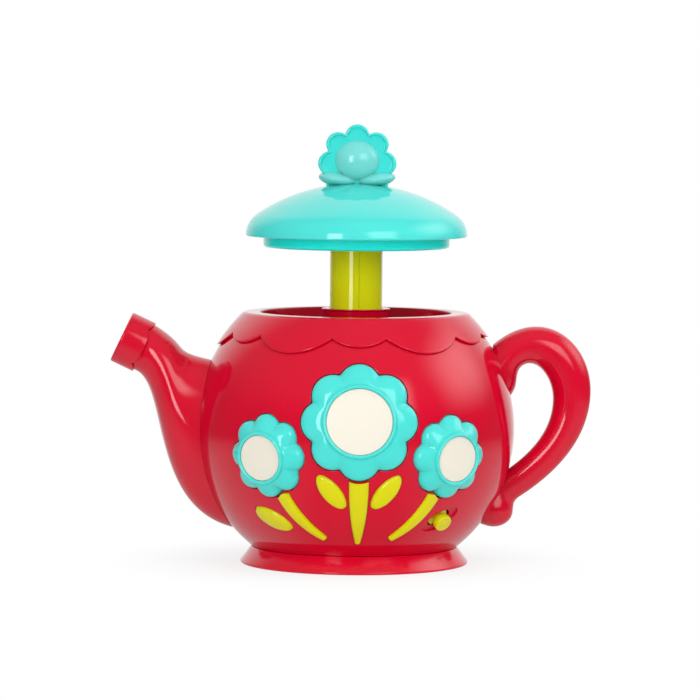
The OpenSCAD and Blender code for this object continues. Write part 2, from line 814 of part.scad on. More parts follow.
// Spout halves: skin, neck spigot and the peg that the body halves trap
module spout_half(side) color(red) intersection() {
    union() {
        difference() {
            union() {
                spout_skin();
                at_mouth() translate([0, 0, -tip_len - overrun])
                    cylinder(r = spigot_r, h = spigot_len + overrun);
            }
            pot_outside();
        }
        wall_peg(-1, -spout_peg_z, spout_peg_r, 0);
        peg_lip_ring(-1, -spout_peg_z, spout_peg_r);
    }
    half_space(side);
}
module spout_front() spout_half(-1);
module spout_back() spout_half(1);
module spout_tip() color(red) at_mouth() difference() {
    translate([0, 0, -tip_len + seat_clear]) rotate_extrude() {
        square([tip_r - tip_round, tip_len - seat_clear]);
        square([tip_r, tip_len - seat_clear - tip_round]);
        translate([tip_r - tip_round, tip_len - seat_clear - tip_round]) circle(r = tip_round);
    }
    translate([0, 0, -mouth_deep]) cylinder(r = mouth_r, h = mouth_deep + overrun);
    translate([0, 0, -tip_len - overrun])
        cylinder(r = spigot_r + seat_clear, h = spigot_len + overrun + seat_clear);
}

// Handle halves: skin, curled tail and two pegs
module handle_half(side) color(red) intersection() {
    union() {
        difference() {
            union() {
                handle_skin();
                translate([tail_x_share * body_r, 0, body_z + tail_z_share * body_r]) sphere(r = tail_r);
            }
            pot_outside();
        }
        for (up = [handle_peg_up, handle_peg_down]) {
            wall_peg(1, up, handle_peg_r, 0);
            peg_lip_ring(1, up, handle_peg_r);
        }
    }
    half_space(side);
}
module handle_front() handle_half(-1);
module handle_back() handle_half(1);

// Quarter section of the lid: crown arc and shoulder arc that meet smoothly, moved in by inset
module dome_2d(inset) translate([0, lid_z]) {
    crown = [0, lid_h - crown_r];
    shoulder = [lid_r - shoulder_r, 0];
    reach = crown + (shoulder - crown) * far / norm(shoulder - crown);
    intersection() {
        union() {
            intersection() {
                translate(crown) circle(r = crown_r - inset);
                polygon([crown, reach, [0, reach[1]]]);
            }
            translate(shoulder) circle(r = shoulder_r - inset);
        }
        square(far);
    }
}
module lid_dome() color(turquoise) difference() {
    rotate_extrude() difference() {
        dome_2d(0);
        dome_2d(lid_wall);
    }
    translate([0, 0, lid_z]) cylinder(r = knob_boss_r + seat_clear, h = far);
}
// Underside of the lid: brim, plug and the hub that the guide tube enters
module lid_plate() {
    brim_r = lid_r - lid_wall - seat_clear;
    hub_in = tube_out_r + tube_lip + hub_clear;
    color(turquoise) rotate_extrude() {
        translate([plug_r - plate_t, lid_z]) square([brim_r - plug_r + plate_t - brim_inset, plate_t]);
        translate([plug_r - plate_t, lid_z - plug_h + plate_t]) square([plate_t, plug_h]);
        translate([plug_r - plate_t, lid_z - plug_h + plate_t]) circle(r = plate_t);
        translate([hub_in, lid_z - plug_h]) square([plug_r - plate_t - hub_in, plate_t]);
        translate([hub_in, lid_z - plug_h]) square([plate_t, hub_z + hub_t - lid_z + plug_h]);
        translate([screw_hole_r, hub_z]) square([hub_in + plate_t - screw_hole_r, hub_t]);
    }
}
// Flower plate with a raised edge, the ball and two leaves at its foot
module lid_knob() {
    color(turquoise) difference() {
        union() {
            difference() {
                translate([0, 0, knob_z]) {
                    rotate([90, 0, 0]) difference() {
                        translate([0, 0, -knob_t / 2])
                            linear_extrude(knob_t) flower_2d(knob_r, knob_lobe_r, 0);
                        for (s = [0, 1]) mirror([0, 0, s]) translate([0, 0, knob_t / 2 - knob_edge_h])
                            linear_extrude(knob_edge_h + overrun)
                                flower_2d(knob_r, knob_lobe_r, -knob_edge_w);
                    }
                    sphere(r = ball_r);
                    for (s = [0, 1]) mirror([s, 0, 0])
                        translate([knob_leaf_out, 0, -knob_leaf_down])
                            rotate([0, -knob_leaf_tilt, 0]) knob_leaf();
                }
                rotate_extrude() dome_2d(-seat_clear);
            }
            translate([0, 0, hub_z + hub_t + seat_clear])
                cylinder(r = knob_boss_r, h = knob_z - hub_z - hub_t);
        }
        cylinder(r = screw_hole_r, h = hub_z + hub_t + screw_len);
    }
}
// Plump leaf lying along X
module knob_leaf()
    scale([1, knob_leaf_w / knob_leaf_len, knob_leaf_t / knob_leaf_len]) sphere(r = knob_leaf_len / 2);

module lid_post() color(lime) rotate_extrude() difference() {
    translate([0, post_low]) square([post_r, hub_z - seat_clear - post_low]);
    translate([0, post_low]) square([post_bore_r, spring_hold]);
    translate([0, post_low]) square([screw_bore_r, hub_z - post_web - post_low]);
    square([screw_hole_r, far]);
    translate([post_r - ring_groove, post_low + post_below_ring - seat_clear])
        square([far, ring_t + 2 * seat_clear]);
}
module post_ring() color(black) rotate_extrude()
    translate([post_r - ring_groove + seat_clear, post_low + post_below_ring])
        square([ring_groove + ring_lip, ring_t]);
module screw() {
    cylinder(r = screw_head_r, h = screw_head_h);
    cylinder(r = screw_r, h = screw_len);
}
module lid_screw() color(steel) translate([0, 0, hub_z - post_web - screw_head_h]) screw();
// Compression spring between the battery box and the step inside the post
module lid_spring() {
    ring_steps = 14;
    sides = 6;
    steps = spring_turns * ring_steps;
    low = spring_foot + wire_r + seat_clear;
    high = spring_top - wire_r - seat_clear;
    color(steel) skin([for (k = [0 : steps])
        let (a = k * 360 / ring_steps, z = low + (high - low) * k / steps)
        [for (i = [0 : sides - 1]) let (b = -i * 360 / sides)
            [(spring_r + wire_r * cos(b)) * cos(a), (spring_r + wire_r * cos(b)) * sin(a),
             z + wire_r * sin(b)]]]);
}

// Flower button: domed petals, raised hub with a bead, plunger and two hooks
module petal_cap(r, petal_r, disc_r, rise, el, dome_share) {
    tip_z = petal_proud - sag(body_r, r);
    low_z = -sag(body_r, r) - wall / 2;
    dome_r = dome_share * petal_r;
    top_z = tip_z + sag(dome_r, petal_r);
    hub_r = disc_r + ring_w;
    hub_h = rise - tip_z + petal_proud / 2;
    bead_r = ring_w / 2;
    floor_z = rise - disc_t - cap_floor;
    hook_end = r + flower_gap + hook_grip;
    hook_z = -inner_depth(hook_end) - belly_dip(asin(hook_end / body_r) - el) - run_clear;
    color(turquoise) difference() {
        union() {
            intersection() {
                translate([0, 0, low_z]) linear_extrude(top_z - low_z + overrun) flower_2d(r, petal_r, 0);
                union() for (i = [0 : petals - 1]) rotate(90 + i * 360 / petals)
                    translate([r - petal_r, 0, top_z - dome_r]) rotate([90, 0, 0]) sphere(r = dome_r);
            }
            translate([0, 0, rise - hub_h])
                cylinder(r1 = hub_r + hub_h * hub_flare_share, r2 = hub_r, h = hub_h);
            translate([0, 0, rise]) rotate_extrude() translate([hub_r - bead_r, 0]) circle(r = bead_r);
            for (s = [0, 1]) mirror([0, s, 0]) {
                leg_in = r - petal_r - hook_t;
                translate([-hook_w / 2, leg_in, hook_z - hook_t]) {
                    cube([hook_w, 2 * hook_t, low_z - hook_z + 2 * hook_t]);
                    cube([hook_w, hook_end - leg_in, hook_t]);
                }
            }
        }
        translate([0, 0, rise - disc_t]) cylinder(r = disc_r + seat_clear, h = disc_t + overrun);
        translate([0, 0, low_z - overrun])
            cylinder(r = r - petal_r - 2 * hook_t, h = floor_z - low_z + overrun);
    }
    color(turquoise) translate([0, 0, -plunger_depth])
        cylinder(r = plunger_r, h = plunger_depth + floor_z + cap_floor / 2);
}
module petal_disc(disc_r, rise) color(cream)
    translate([0, 0, rise - disc_t + seat_clear]) cylinder(r = disc_r, h = disc_t + disc_proud - seat_clear);
module rubber_pad() color(rubber_grey) translate([0, 0, -plunger_depth - pad_gap - pad_h]) {
    cylinder(r = pad_r + pad_flange, h = pad_flange);
    cylinder(r1 = pad_r, r2 = plunger_r, h = pad_h);
}
module button_board() color(board_green)
    translate([0, 0, -carrier_z + seat_clear]) cylinder(r = board_r, h = board_t - seat_clear);

module centre_petals() at_body(0, centre_el)
    petal_cap(centre_r, centre_petal_r, centre_disc_r, centre_rise, centre_el, centre_dome_share);
module left_petals() at_body(-side_az, side_el)
    petal_cap(side_r, side_petal_r, side_disc_r, side_rise, side_el, side_dome_share);
module right_petals() at_body(side_az, side_el)
    petal_cap(side_r, side_petal_r, side_disc_r, side_rise, side_el, side_dome_share);
module centre_disc() at_body(0, centre_el) petal_disc(centre_disc_r, centre_rise);
module left_disc() at_body(-side_az, side_el) petal_disc(side_disc_r, side_rise);
module right_disc() at_body(side_az, side_el) petal_disc(side_disc_r, side_rise);
module centre_pad() at_body(0, centre_el) rubber_pad();
module left_pad() at_body(-side_az, side_el) rubber_pad();
module right_pad() at_body(side_az, side_el) rubber_pad();
module centre_board() at_body(0, centre_el) button_board();
module left_board() at_body(-side_az, side_el) button_board();
module right_board() at_body(side_az, side_el) button_board();

// Curved carrier behind the buttons, on the front half's pillars
module switch_carrier() color(black) {
    intersection() {
        translate([0, 0, body_z]) difference() {
            sphere(r = carrier_r - seat_clear);
            sphere(r = carrier_r - carrier_t);
        }
        translate([-carrier_r * sin(carrier_turn), -far, body_z - carrier_r * sin(carrier_down)])
            cube([2 * carrier_r * sin(carrier_turn), far - carrier_r * cos(carrier_turn),
                  carrier_r * (sin(carrier_down) + sin(carrier_up))]);
    }
    at_body(0, centre_el) carrier_pad();
    for (side = [-1, 1]) at_body(side * side_az, side_el) carrier_pad();
}
module carrier_pad()
    translate([0, 0, -carrier_z - carrier_t]) cylinder(r = board_r + carrier_seat, h = carrier_t);

module centre_stem() inlay() stem_prism(0, 0);
module left_stem() inlay() stem_prism(-1, 0);
module right_stem() inlay() stem_prism(1, 0);
module centre_left_leaf() inlay() leaf_prism(-centre_leaf_az, centre_leaf_el, centre_leaf_turn, 0);
module centre_right_leaf() inlay() leaf_prism(centre_leaf_az, centre_leaf_el, -centre_leaf_turn, 0);
module left_leaf() inlay() leaf_prism(-side_leaf_az, side_leaf_el, side_leaf_turn, 0);

// Sliding button: domed cap, neck through the slot, keeper and switch tongue
module power_knob() color(lime) at_slide() {
    dome_r = slide_dome_share * slide_r;
    intersection() {
        translate([0, 0, slide_lift]) cylinder(r = slide_r, h = slide_h);
        translate([0, 0, slide_lift + slide_h - dome_r]) sphere(r = dome_r);
    }
    translate([0, 0, -keeper_depth]) cylinder(r = slide_neck_r, h = keeper_depth + slide_lift + slide_h / 2);
    translate([-keeper_len / 2, -keeper_w / 2, -keeper_depth - keeper_t])
        cube([keeper_len, keeper_w, keeper_t]);
    translate([0, 0, -switch_depth - switch_h / 2])
        cylinder(r = tongue_r, h = switch_depth + switch_h / 2 - keeper_depth);
}
module slide_switch() color(black) at_slide() difference() {
    union() {
        translate([-switch_len / 2, -switch_w / 2, -switch_depth - switch_h])
            cube([switch_len, switch_w, switch_h - seat_clear]);
        translate([-ear_len / 2, -switch_w / 2, -switch_depth - ear_t])
            cube([ear_len, switch_w, ear_t - seat_clear]);
    }
    translate([-slide_travel - tongue_r - slot_clear, -tongue_r - slot_clear,
               -switch_depth - switch_h / 2 - slot_clear])
        cube([2 * (slide_travel + tongue_r + slot_clear), 2 * (tongue_r + slot_clear), switch_h]);
}

module speaker() color(black) at_body(180, speaker_el) translate([0, 0, -speaker_depth]) mirror([0, 0, 1]) {
    cylinder(r = speaker_r, h = speaker_frame_t);
    translate([0, 0, speaker_frame_t])
        cylinder(r1 = speaker_back_r + speaker_ring, r2 = speaker_magnet_r, h = speaker_cone_h);
    translate([0, 0, speaker_frame_t + speaker_cone_h]) cylinder(r = speaker_magnet_r, h = speaker_magnet_h);
}
module main_board() color(board_green) translate([0, main_y, body_z]) {
    translate([-main_w / 2, 0, -main_h / 2]) cube([main_w, board_t - seat_clear, main_h]);
    translate([-chip_w / 2, -chip_t, 0]) cube([chip_w, chip_t, chip_w]);
    translate([chip_w, 0, -chip_w / 2]) rotate([90, 0, 0]) cylinder(r = can_r, h = can_h);
}
// Places of the cells side by side in the box
cell_y = [for (i = [0 : cells - 1]) (i - (cells - 1) / 2) * (2 * cell_r + cell_room)];
cell_z = floor_z + door_t + seam;
module battery_cells() color(steel) for (y = cell_y)
    translate([-cell_len / 2, y, cell_z + cell_r]) rotate([0, 90, 0]) {
        cylinder(r = cell_r, h = cell_len - contact_gap + contact_t);
        cylinder(r = cell_nub_share * cell_r, h = cell_len);
    }
module battery_contacts() color(steel) for (s = [0, 1], y = cell_y) mirror([s, 0, 0])
    translate([cell_len / 2 + contact_gap - contact_t, y - cell_r / 2, cell_z])
        cube([contact_t - seat_clear, cell_r, contact_h_share * cell_r]);
module case_screws() color(steel) case_screw_places(1)
    translate([0, 0, case_screw_deep + screw_head_h]) mirror([0, 0, 1]) screw();
module base_screws() color(steel) base_screw_places(quarter_turns) translate([0, 0, floor_z]) screw();
module door_screw() color(steel) translate([door_screw_x, 0, floor_z]) {
    cylinder(r = screw_head_r, h = door_t / 2);
    cylinder(r = screw_r, h = 2 * floor_t - board_t);
}

front_shell();
back_shell();
top_collar();
base();
battery_door();
spout_front();
spout_back();
spout_tip();
handle_front();
handle_back();
lid_dome();
lid_plate();
lid_knob();
lid_post();
post_ring();
lid_screw();
lid_spring();
centre_petals();
left_petals();
right_petals();
centre_disc();
left_disc();
right_disc();
centre_pad();
left_pad();
right_pad();
centre_board();
left_board();
right_board();
switch_carrier();
centre_stem();
left_stem();
right_stem();
centre_left_leaf();
centre_right_leaf();
left_leaf();
power_knob();
slide_switch();
speaker();
main_board();
battery_cells();
battery_contacts();
case_screws();
base_screws();
door_screw();
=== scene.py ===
import json
from math import acos, asin, atan2, copysign, cos, degrees, hypot, pi, radians, sin, sqrt

import bmesh
import bpy
from mathutils import Matrix, Quaternion, Vector


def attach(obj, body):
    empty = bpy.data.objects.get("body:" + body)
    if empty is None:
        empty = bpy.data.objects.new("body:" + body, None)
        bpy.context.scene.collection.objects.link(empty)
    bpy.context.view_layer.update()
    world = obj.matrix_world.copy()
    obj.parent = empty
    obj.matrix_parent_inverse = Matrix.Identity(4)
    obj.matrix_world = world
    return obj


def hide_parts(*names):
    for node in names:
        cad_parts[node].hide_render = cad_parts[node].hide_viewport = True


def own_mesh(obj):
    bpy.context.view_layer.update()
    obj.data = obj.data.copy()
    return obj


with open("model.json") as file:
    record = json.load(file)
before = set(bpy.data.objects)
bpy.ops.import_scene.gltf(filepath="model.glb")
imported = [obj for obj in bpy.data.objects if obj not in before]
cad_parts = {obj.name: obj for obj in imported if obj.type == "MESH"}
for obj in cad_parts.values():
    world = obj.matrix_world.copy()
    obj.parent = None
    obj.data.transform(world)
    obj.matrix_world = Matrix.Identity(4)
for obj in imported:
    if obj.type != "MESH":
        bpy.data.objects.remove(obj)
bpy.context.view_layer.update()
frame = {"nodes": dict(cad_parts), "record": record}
scene = bpy.context.scene
scene.view_settings.view_transform = "Standard"
mm = 0.001  # pieces are modelled in millimetres and scaled once, in addPiece
slotOf = {part["node"]: part["material_slot"] for part in frame["record"]["subparts"]}


# colours and shader nodes
def linear(hexCode):
    # sRGB hex to the linear values that shaders take
    channels = [int(hexCode[k:k + 2], 16) / 255 for k in (1, 3, 5)]
    return [c / 12.92 if c <= 0.04045 else ((c + 0.055) / 1.055) ** 2.4 for c in channels] + [1]


def addNode(tree, kind, settings=None, links=None):
    # links name an output, or a node for its first output
    node = tree.nodes.new(kind)
    for key, value in (settings or {}).items():
        if isinstance(key, str) and hasattr(node, key):
            setattr(node, key, value)
        else:
            node.inputs[key].default_value = value
    for key, source in (links or {}).items():
        first = source.outputs[0] if isinstance(source, bpy.types.Node) else source
        tree.links.new(first, node.inputs[key])
    return node


def newMaterial(name):
    # gives the material, its empty tree and the place on the piece that patterns are laid by
    material = bpy.data.materials.new(name)
    material.use_nodes = True
    tree = material.node_tree
    tree.nodes.clear()
    return material, tree, addNode(tree, "ShaderNodeTexCoord").outputs["Object"]


# camera, lamps, room and floor, matched to the photograph
shot = dict(aimHeight=102.32, distance=1992, tilt=3.73, turn=1.6, roll=0.47,
            focalPixels=4150, imagePixels=700, aimPixel=355.6)


def direction(turn, tilt):
    # unit vector from the object: turn 0 is the front, positive to the right
    turn, tilt = radians(turn), radians(tilt)
    return Vector((sin(turn) * cos(tilt), -cos(turn) * cos(tilt), sin(tilt)))


def makeCamera():
    lens = bpy.data.cameras.new("shotCamera")
    lens.sensor_width = 36
    lens.lens = lens.sensor_width * shot["focalPixels"] / shot["imagePixels"]
    lens.shift_x = 0.5 - shot["aimPixel"] / shot["imagePixels"]
    lens.clip_start, lens.clip_end = 0.05, 80
    camera = bpy.data.objects.new("shotCamera", lens)
    scene.collection.objects.link(camera)
    back = direction(-shot["turn"], shot["tilt"])
    camera.location = Vector((0, 0, shot["aimHeight"] * mm)) + back * shot["distance"] * mm
    camera.rotation_mode = "QUATERNION"
    lean = Quaternion((0, 0, 1), radians(shot["roll"]))
    camera.rotation_quaternion = (-back).to_track_quat("-Z", "Y") @ lean
    scene.camera = camera


# each lamp: turn and tilt seen from the pot, distance, width and height in metres, glow, the share
# of its half size over which it fades to the edge, and whether the gloss mirrors it
lamps = dict(
    leftStrip=dict(turn=-24, tilt=9, away=1.6, wide=0.46, tall=1.1, glow=6.2, fade=0.15, mirrored=True),
    rightBox=dict(turn=26, tilt=22, away=1.7, wide=1.2, tall=1.1, glow=2.9, fade=0.6, mirrored=True),
    sidePanel=dict(turn=95, tilt=30, away=1.7, wide=2.2, tall=1.6, glow=2.2, fade=0.9, mirrored=True),
    frontPanel=dict(turn=2, tilt=8, away=1.9, wide=1.4, tall=0.8, glow=1.5, fade=0.5, mirrored=False),
    topPanel=dict(turn=10, tilt=70, away=1.5, wide=1.6, tall=1.4, glow=2.0, fade=0.6, mirrored=False),
)


def makeLamps():
    aim = Vector((0, 0, shot["aimHeight"] * mm))
    for name, lamp in lamps.items():
        light = bpy.data.lights.new(name, "AREA")
        light.shape = "RECTANGLE"
        light.size, light.size_y = lamp["wide"], lamp["tall"]
        light.energy = lamp["glow"] * pi * lamp["wide"] * lamp["tall"]
        light.use_nodes = True
        tree = light.node_tree
        tree.nodes.clear()
        # bright in the middle, fading to the edges of the diffuser
        across = addNode(tree, "ShaderNodeVectorMath", {"operation": "SUBTRACT", 1: (0.5, 0.5, 0)}, {
            0: addNode(tree, "ShaderNodeNewGeometry").outputs["Parametric"]})
        offMiddle = addNode(tree, "ShaderNodeVectorMath", {"operation": "ABSOLUTE"}, {0: across})
        spot = addNode(tree, "ShaderNodeSeparateXYZ", links={0: offMiddle})
        fades = [addNode(tree, "ShaderNodeMapRange", {
            "interpolation_type": "SMOOTHSTEP", "From Min": 0.5, "From Max": 0.5 - lamp["fade"] / 2,
            "To Min": 0, "To Max": 1}, {"Value": spot.outputs[way]}) for way in "XY"]
        both = addNode(tree, "ShaderNodeMath", {"operation": "MULTIPLY"}, {0: fades[0], 1: fades[1]})
        glow = addNode(tree, "ShaderNodeEmission", links={"Strength": both})
        addNode(tree, "ShaderNodeOutputLight", links={"Surface": glow})
        holder = bpy.data.objects.new(name, light)
        scene.collection.objects.link(holder)
        way = direction(lamp["turn"], lamp["tilt"])
        holder.location = aim + way * lamp["away"]
        holder.rotation_mode = "QUATERNION"
        holder.rotation_quaternion = way.to_track_quat("Z", "Y")
        holder.visible_glossy = lamp["mirrored"]


# brightness of the white room: to the eye, as fill light, and mirrored in front, overhead and behind
room = dict(seen=1.0, bounce=0.45, low=0.1, above=0.3, behind=0.95, behindFrom=0.55)


def makeRoom():
    world = bpy.data.worlds.new("whiteRoom")
    scene.world = world
    world.use_nodes = True
    tree = world.node_tree
    tree.nodes.clear()
    path = addNode(tree, "ShaderNodeLightPath")
    # what the gloss mirrors: a pale ceiling, a white backdrop, and a dark room on the camera's side
    facing = addNode(tree, "ShaderNodeSeparateXYZ", links={
        "Vector": addNode(tree, "ShaderNodeTexCoord").outputs["Generated"]})
    ceiling = addNode(tree, "ShaderNodeMapRange", {
        "interpolation_type": "SMOOTHSTEP", "From Min": 0.1, "From Max": 0.6,
        "To Min": room["low"], "To Max": room["above"]}, {"Value": facing.outputs["Z"]})
    back = addNode(tree, "ShaderNodeMath", {"operation": "MULTIPLY_ADD", 1: 0.5}, {
        0: facing.outputs["Z"], 2: facing.outputs["Y"]})
    backdrop = addNode(tree, "ShaderNodeMapRange", {
        "interpolation_type": "SMOOTHSTEP", "From Min": room["behindFrom"], "From Max": 1.0,
        "To Min": 0, "To Max": room["behind"]}, {"Value": back})
    both = addNode(tree, "ShaderNodeMath", {"operation": "ADD"}, {0: ceiling, 1: backdrop})
    mirrored = addNode(tree, "ShaderNodeBackground", links={"Strength": both})
    lit = addNode(tree, "ShaderNodeBackground", {"Strength": room["bounce"]})
    seen = addNode(tree, "ShaderNodeBackground", {"Strength": room["seen"]})
    for shade in (mirrored, lit, seen):
        shade.inputs["Color"].default_value = (1, 1, 1, 1)
    gloss = addNode(tree, "ShaderNodeMath", {"operation": "MAXIMUM"}, {
        0: path.outputs["Is Glossy Ray"], 1: path.outputs["Is Transmission Ray"]})
    soft = addNode(tree, "ShaderNodeMixShader", links={0: gloss, 1: lit, 2: mirrored})
    whole = addNode(tree, "ShaderNodeMixShader", links={
        0: path.outputs["Is Camera Ray"], 1: soft, 2: seen})
    addNode(tree, "ShaderNodeOutputWorld", links={"Surface": whole})


# white paper, lengths in metres and sunk in mm; shadowShare is how much of the lit paper, with the
# pot's shadow on it, the eye sees near the pot
paper = dict(size=20, sunk=0.05, tone="#f4f4f4", shadowNear=0.05, shadowFar=0.13, shadowShare=0.2,
             front=0.16, side=0.55, sideFrom=0.3, sideTo=0.9, glossNear=0.1, glossFar=0.8)


def makeFloor():
    bm = bmesh.new()
    bmesh.ops.create_grid(bm, x_segments=1, y_segments=1, size=paper["size"])
    mesh = bpy.data.meshes.new("studioFloor")
    bm.to_mesh(mesh)
    bm.free()
    floor = bpy.data.objects.new("studioFloor", mesh)
    floor.location.z = -paper["sunk"] * mm
    scene.collection.objects.link(floor)
    material, tree, place = newMaterial("whitePaper")
    path = addNode(tree, "ShaderNodeLightPath")
    away = addNode(tree, "ShaderNodeVectorMath", {"operation": "LENGTH"}, {0: place})
    # to the eye the paper is white and keeps a faint share of the pot's shadow
    matt = addNode(tree, "ShaderNodeBsdfDiffuse", {"Color": linear(paper["tone"])})
    white = addNode(tree, "ShaderNodeEmission", {"Strength": 1.0})
    share = addNode(tree, "ShaderNodeMapRange", {
        "interpolation_type": "SMOOTHSTEP", "From Min": paper["shadowNear"], "From Max": paper["shadowFar"],
        "To Min": 1 - paper["shadowShare"], "To Max": 1}, {"Value": away.outputs["Value"]})
    eye = addNode(tree, "ShaderNodeMixShader", links={0: share, 1: matt, 2: white})
    # the gloss mirrors a floor that is white beside the pot and far off as bright as the room there,
    # so that no horizon shows
    outward = addNode(tree, "ShaderNodeVectorMath", {"operation": "NORMALIZE"}, {0: place})
    facing = addNode(tree, "ShaderNodeSeparateXYZ", links={"Vector": outward})
    behind = addNode(tree, "ShaderNodeMapRange", {
        "interpolation_type": "SMOOTHSTEP", "From Min": room["behindFrom"], "From Max": 1.0,
        "To Min": room["low"], "To Max": room["low"] + room["behind"]}, {"Value": facing.outputs["Y"]})
    sideways = addNode(tree, "ShaderNodeMath", {"operation": "ABSOLUTE"}, {0: facing.outputs["X"]})
    beside = addNode(tree, "ShaderNodeMapRange", {
        "interpolation_type": "SMOOTHSTEP", "From Min": paper["sideFrom"], "From Max": paper["sideTo"],
        "To Min": paper["front"], "To Max": paper["side"]}, {"Value": sideways})
    near = addNode(tree, "ShaderNodeMapRange", {
        "interpolation_type": "SMOOTHSTEP", "From Min": paper["glossNear"], "From Max": paper["glossFar"],
        "To Min": 1, "To Max": 0}, {"Value": away.outputs["Value"]})
    glow = addNode(tree, "ShaderNodeMath", {"operation": "MULTIPLY_ADD"}, {0: beside, 1: near, 2: behind})
    mirrored = addNode(tree, "ShaderNodeEmission", links={"Strength": glow})
    bounced = addNode(tree, "ShaderNodeMixShader", links={
        0: path.outputs["Is Glossy Ray"], 1: matt, 2: mirrored})
    surface = addNode(tree, "ShaderNodeMixShader", links={
        0: path.outputs["Is Camera Ray"], 1: bounced, 2: eye})
    # from below the paper is clear, so that the base can be looked at
    oneSided = addNode(tree, "ShaderNodeMixShader", links={
        0: addNode(tree, "ShaderNodeNewGeometry").outputs["Backfacing"], 1: surface,
        2: addNode(tree, "ShaderNodeBsdfTransparent")})
    addNode(tree, "ShaderNodeOutputMaterial", links={"Surface": oneSided})
    mesh.materials.append(material)


makeCamera()
makeLamps()
makeRoom()
makeFloor()
print("camera, lamps, room and floor are set")


# materials
def finished(material, tree, settings, links):
    shader = addNode(tree, "ShaderNodeBsdfPrincipled", settings, links)
    addNode(tree, "ShaderNodeOutputMaterial", links={"Surface": shader})
    return material


# patterns of the moulded skin, sizes and depths in mm; dull is how much rougher handled patches are
absSkin = dict(flow=26, marks=9, grain=1.1, grainDeep=0.01, sink=34, dull=0.05)
# colour, the tint of its flow marks, roughness, and the depth of the sink waves in mm; the last five
# are copies for the knob's panel, a paler one with a painted sheen for the knob's ball and leaves, and
# brighter ones with painted light for the lid underside, the foot and the post
absLooks = dict(
    redAbs=dict(colour="#d0042b", flow="#c80327", rough=0.07, wave=0.015, ior=1.53),
    turquoiseAbs=dict(colour="#4cd8d0", flow="#46d2ca", rough=0.07, wave=0.02, ior=1.53),
    limeAbs=dict(colour="#d8d300", flow="#d1cc00", rough=0.1, wave=0.02, ior=1.53),
    creamAbs=dict(colour="#e6e0d2", flow="#e2dbcc", rough=0.3, wave=0.02, ior=1.5),
    satinTurquoiseAbs=dict(colour="#3cd8d0", flow="#36d2ca", rough=0.12, wave=0.02, ior=1.53),
    # painted sheen: paler than the knob's turquoise, for the soft reflection and light from above on the ball
    # and leaves
    paleTurquoiseAbs=dict(colour="#74d2cd", flow="#6eccc7", rough=0.14, wave=0.02, ior=1.53),
    # painted light: brighter than the turquoise, so that the lid underside reads lit though it sits in the
    # brim's shade
    deepTurquoiseAbs=dict(colour="#14e4d8", flow="#10ded2", rough=0.12, wave=0.02, ior=1.53),
    # painted light: a lighter red standing in for the stronger front light on the foot
    lightRedAbs=dict(colour="#e0062e", flow="#d9052b", rough=0.12, wave=0.015, ior=1.53),
    # painted light: a brighter lime that makes up for the lid's shade on the post
    freshLimeAbs=dict(colour="#e0e200", flow="#dadc00", rough=0.07, wave=0.015, ior=1.53),
)


def mouldedAbs(name, look):
    # ABS from a polished mould: clear gloss over an even colour, long shallow sink waves,
    # a very fine skin, and dull patches where it was handled
    material, tree, place = newMaterial(name)
    flow = addNode(tree, "ShaderNodeTexNoise", {
        "Scale": 1 / (absSkin["flow"] * mm), "Detail": 3}, {"Vector": place})
    tint = addNode(tree, "ShaderNodeMix", {
        "data_type": "RGBA", 6: linear(look["colour"]), 7: linear(look["flow"])}, {0: flow})
    marks = addNode(tree, "ShaderNodeTexNoise", {
        "Scale": 1 / (absSkin["marks"] * mm), "Detail": 4, "Roughness": 0.6}, {"Vector": place})
    gloss = addNode(tree, "ShaderNodeMapRange", {
        "From Min": 0.35, "From Max": 0.75, "To Min": look["rough"],
        "To Max": look["rough"] + absSkin["dull"]}, {"Value": marks})
    grain = addNode(tree, "ShaderNodeTexNoise", {
        "Scale": 1 / (absSkin["grain"] * mm), "Detail": 2}, {"Vector": place})
    fine = addNode(tree, "ShaderNodeBump", {
        "Strength": 0.12, "Distance": absSkin["grainDeep"] * mm}, {"Height": grain})
    sink = addNode(tree, "ShaderNodeTexNoise", {
        "Scale": 1 / (absSkin["sink"] * mm), "Detail": 1}, {"Vector": place})
    waves = addNode(tree, "ShaderNodeBump", {"Strength": 1.0, "Distance": look["wave"] * mm},
                    {"Height": sink, "Normal": fine})
    return finished(material, tree, {"IOR": look["ior"]}, {
        "Base Color": tint.outputs[2], "Roughness": gloss, "Normal": waves})


def blackNylon():
    # glass-filled nylon: dull black with a pebbled skin, pebbles about 0.5 mm
    material, tree, place = newMaterial("blackNylon")
    pebble = addNode(tree, "ShaderNodeTexVoronoi", {"Scale": 1 / (0.5 * mm)}, {"Vector": place})
    rough = addNode(tree, "ShaderNodeMapRange", {"To Min": 0.45, "To Max": 0.62}, {"Value": pebble})
    bump = addNode(tree, "ShaderNodeBump", {"Strength": 0.4, "Distance": 0.03 * mm}, {"Height": pebble})
    return finished(material, tree, {"Base Color": linear("#232326"), "IOR": 1.53}, {
        "Roughness": rough, "Normal": bump})


def circuitBoard():
    # green solder mask with copper runs about 2.5 mm apart showing through
    material, tree, place = newMaterial("circuitBoard")
    runs = addNode(tree, "ShaderNodeTexBrick", {
        "Scale": 1 / (5 * mm), "Mortar Size": 0.03, "Color1": linear("#2c6a3a"),
        "Color2": linear("#2f7040"), "Mortar": linear("#4c8a55")}, {"Vector": place})
    bump = addNode(tree, "ShaderNodeBump", {
        "Strength": 0.3, "Distance": 0.04 * mm}, {"Height": runs.outputs["Fac"]})
    return finished(material, tree, {"Roughness": 0.38, "IOR": 1.55}, {
        "Base Color": runs.outputs["Color"], "Normal": bump})


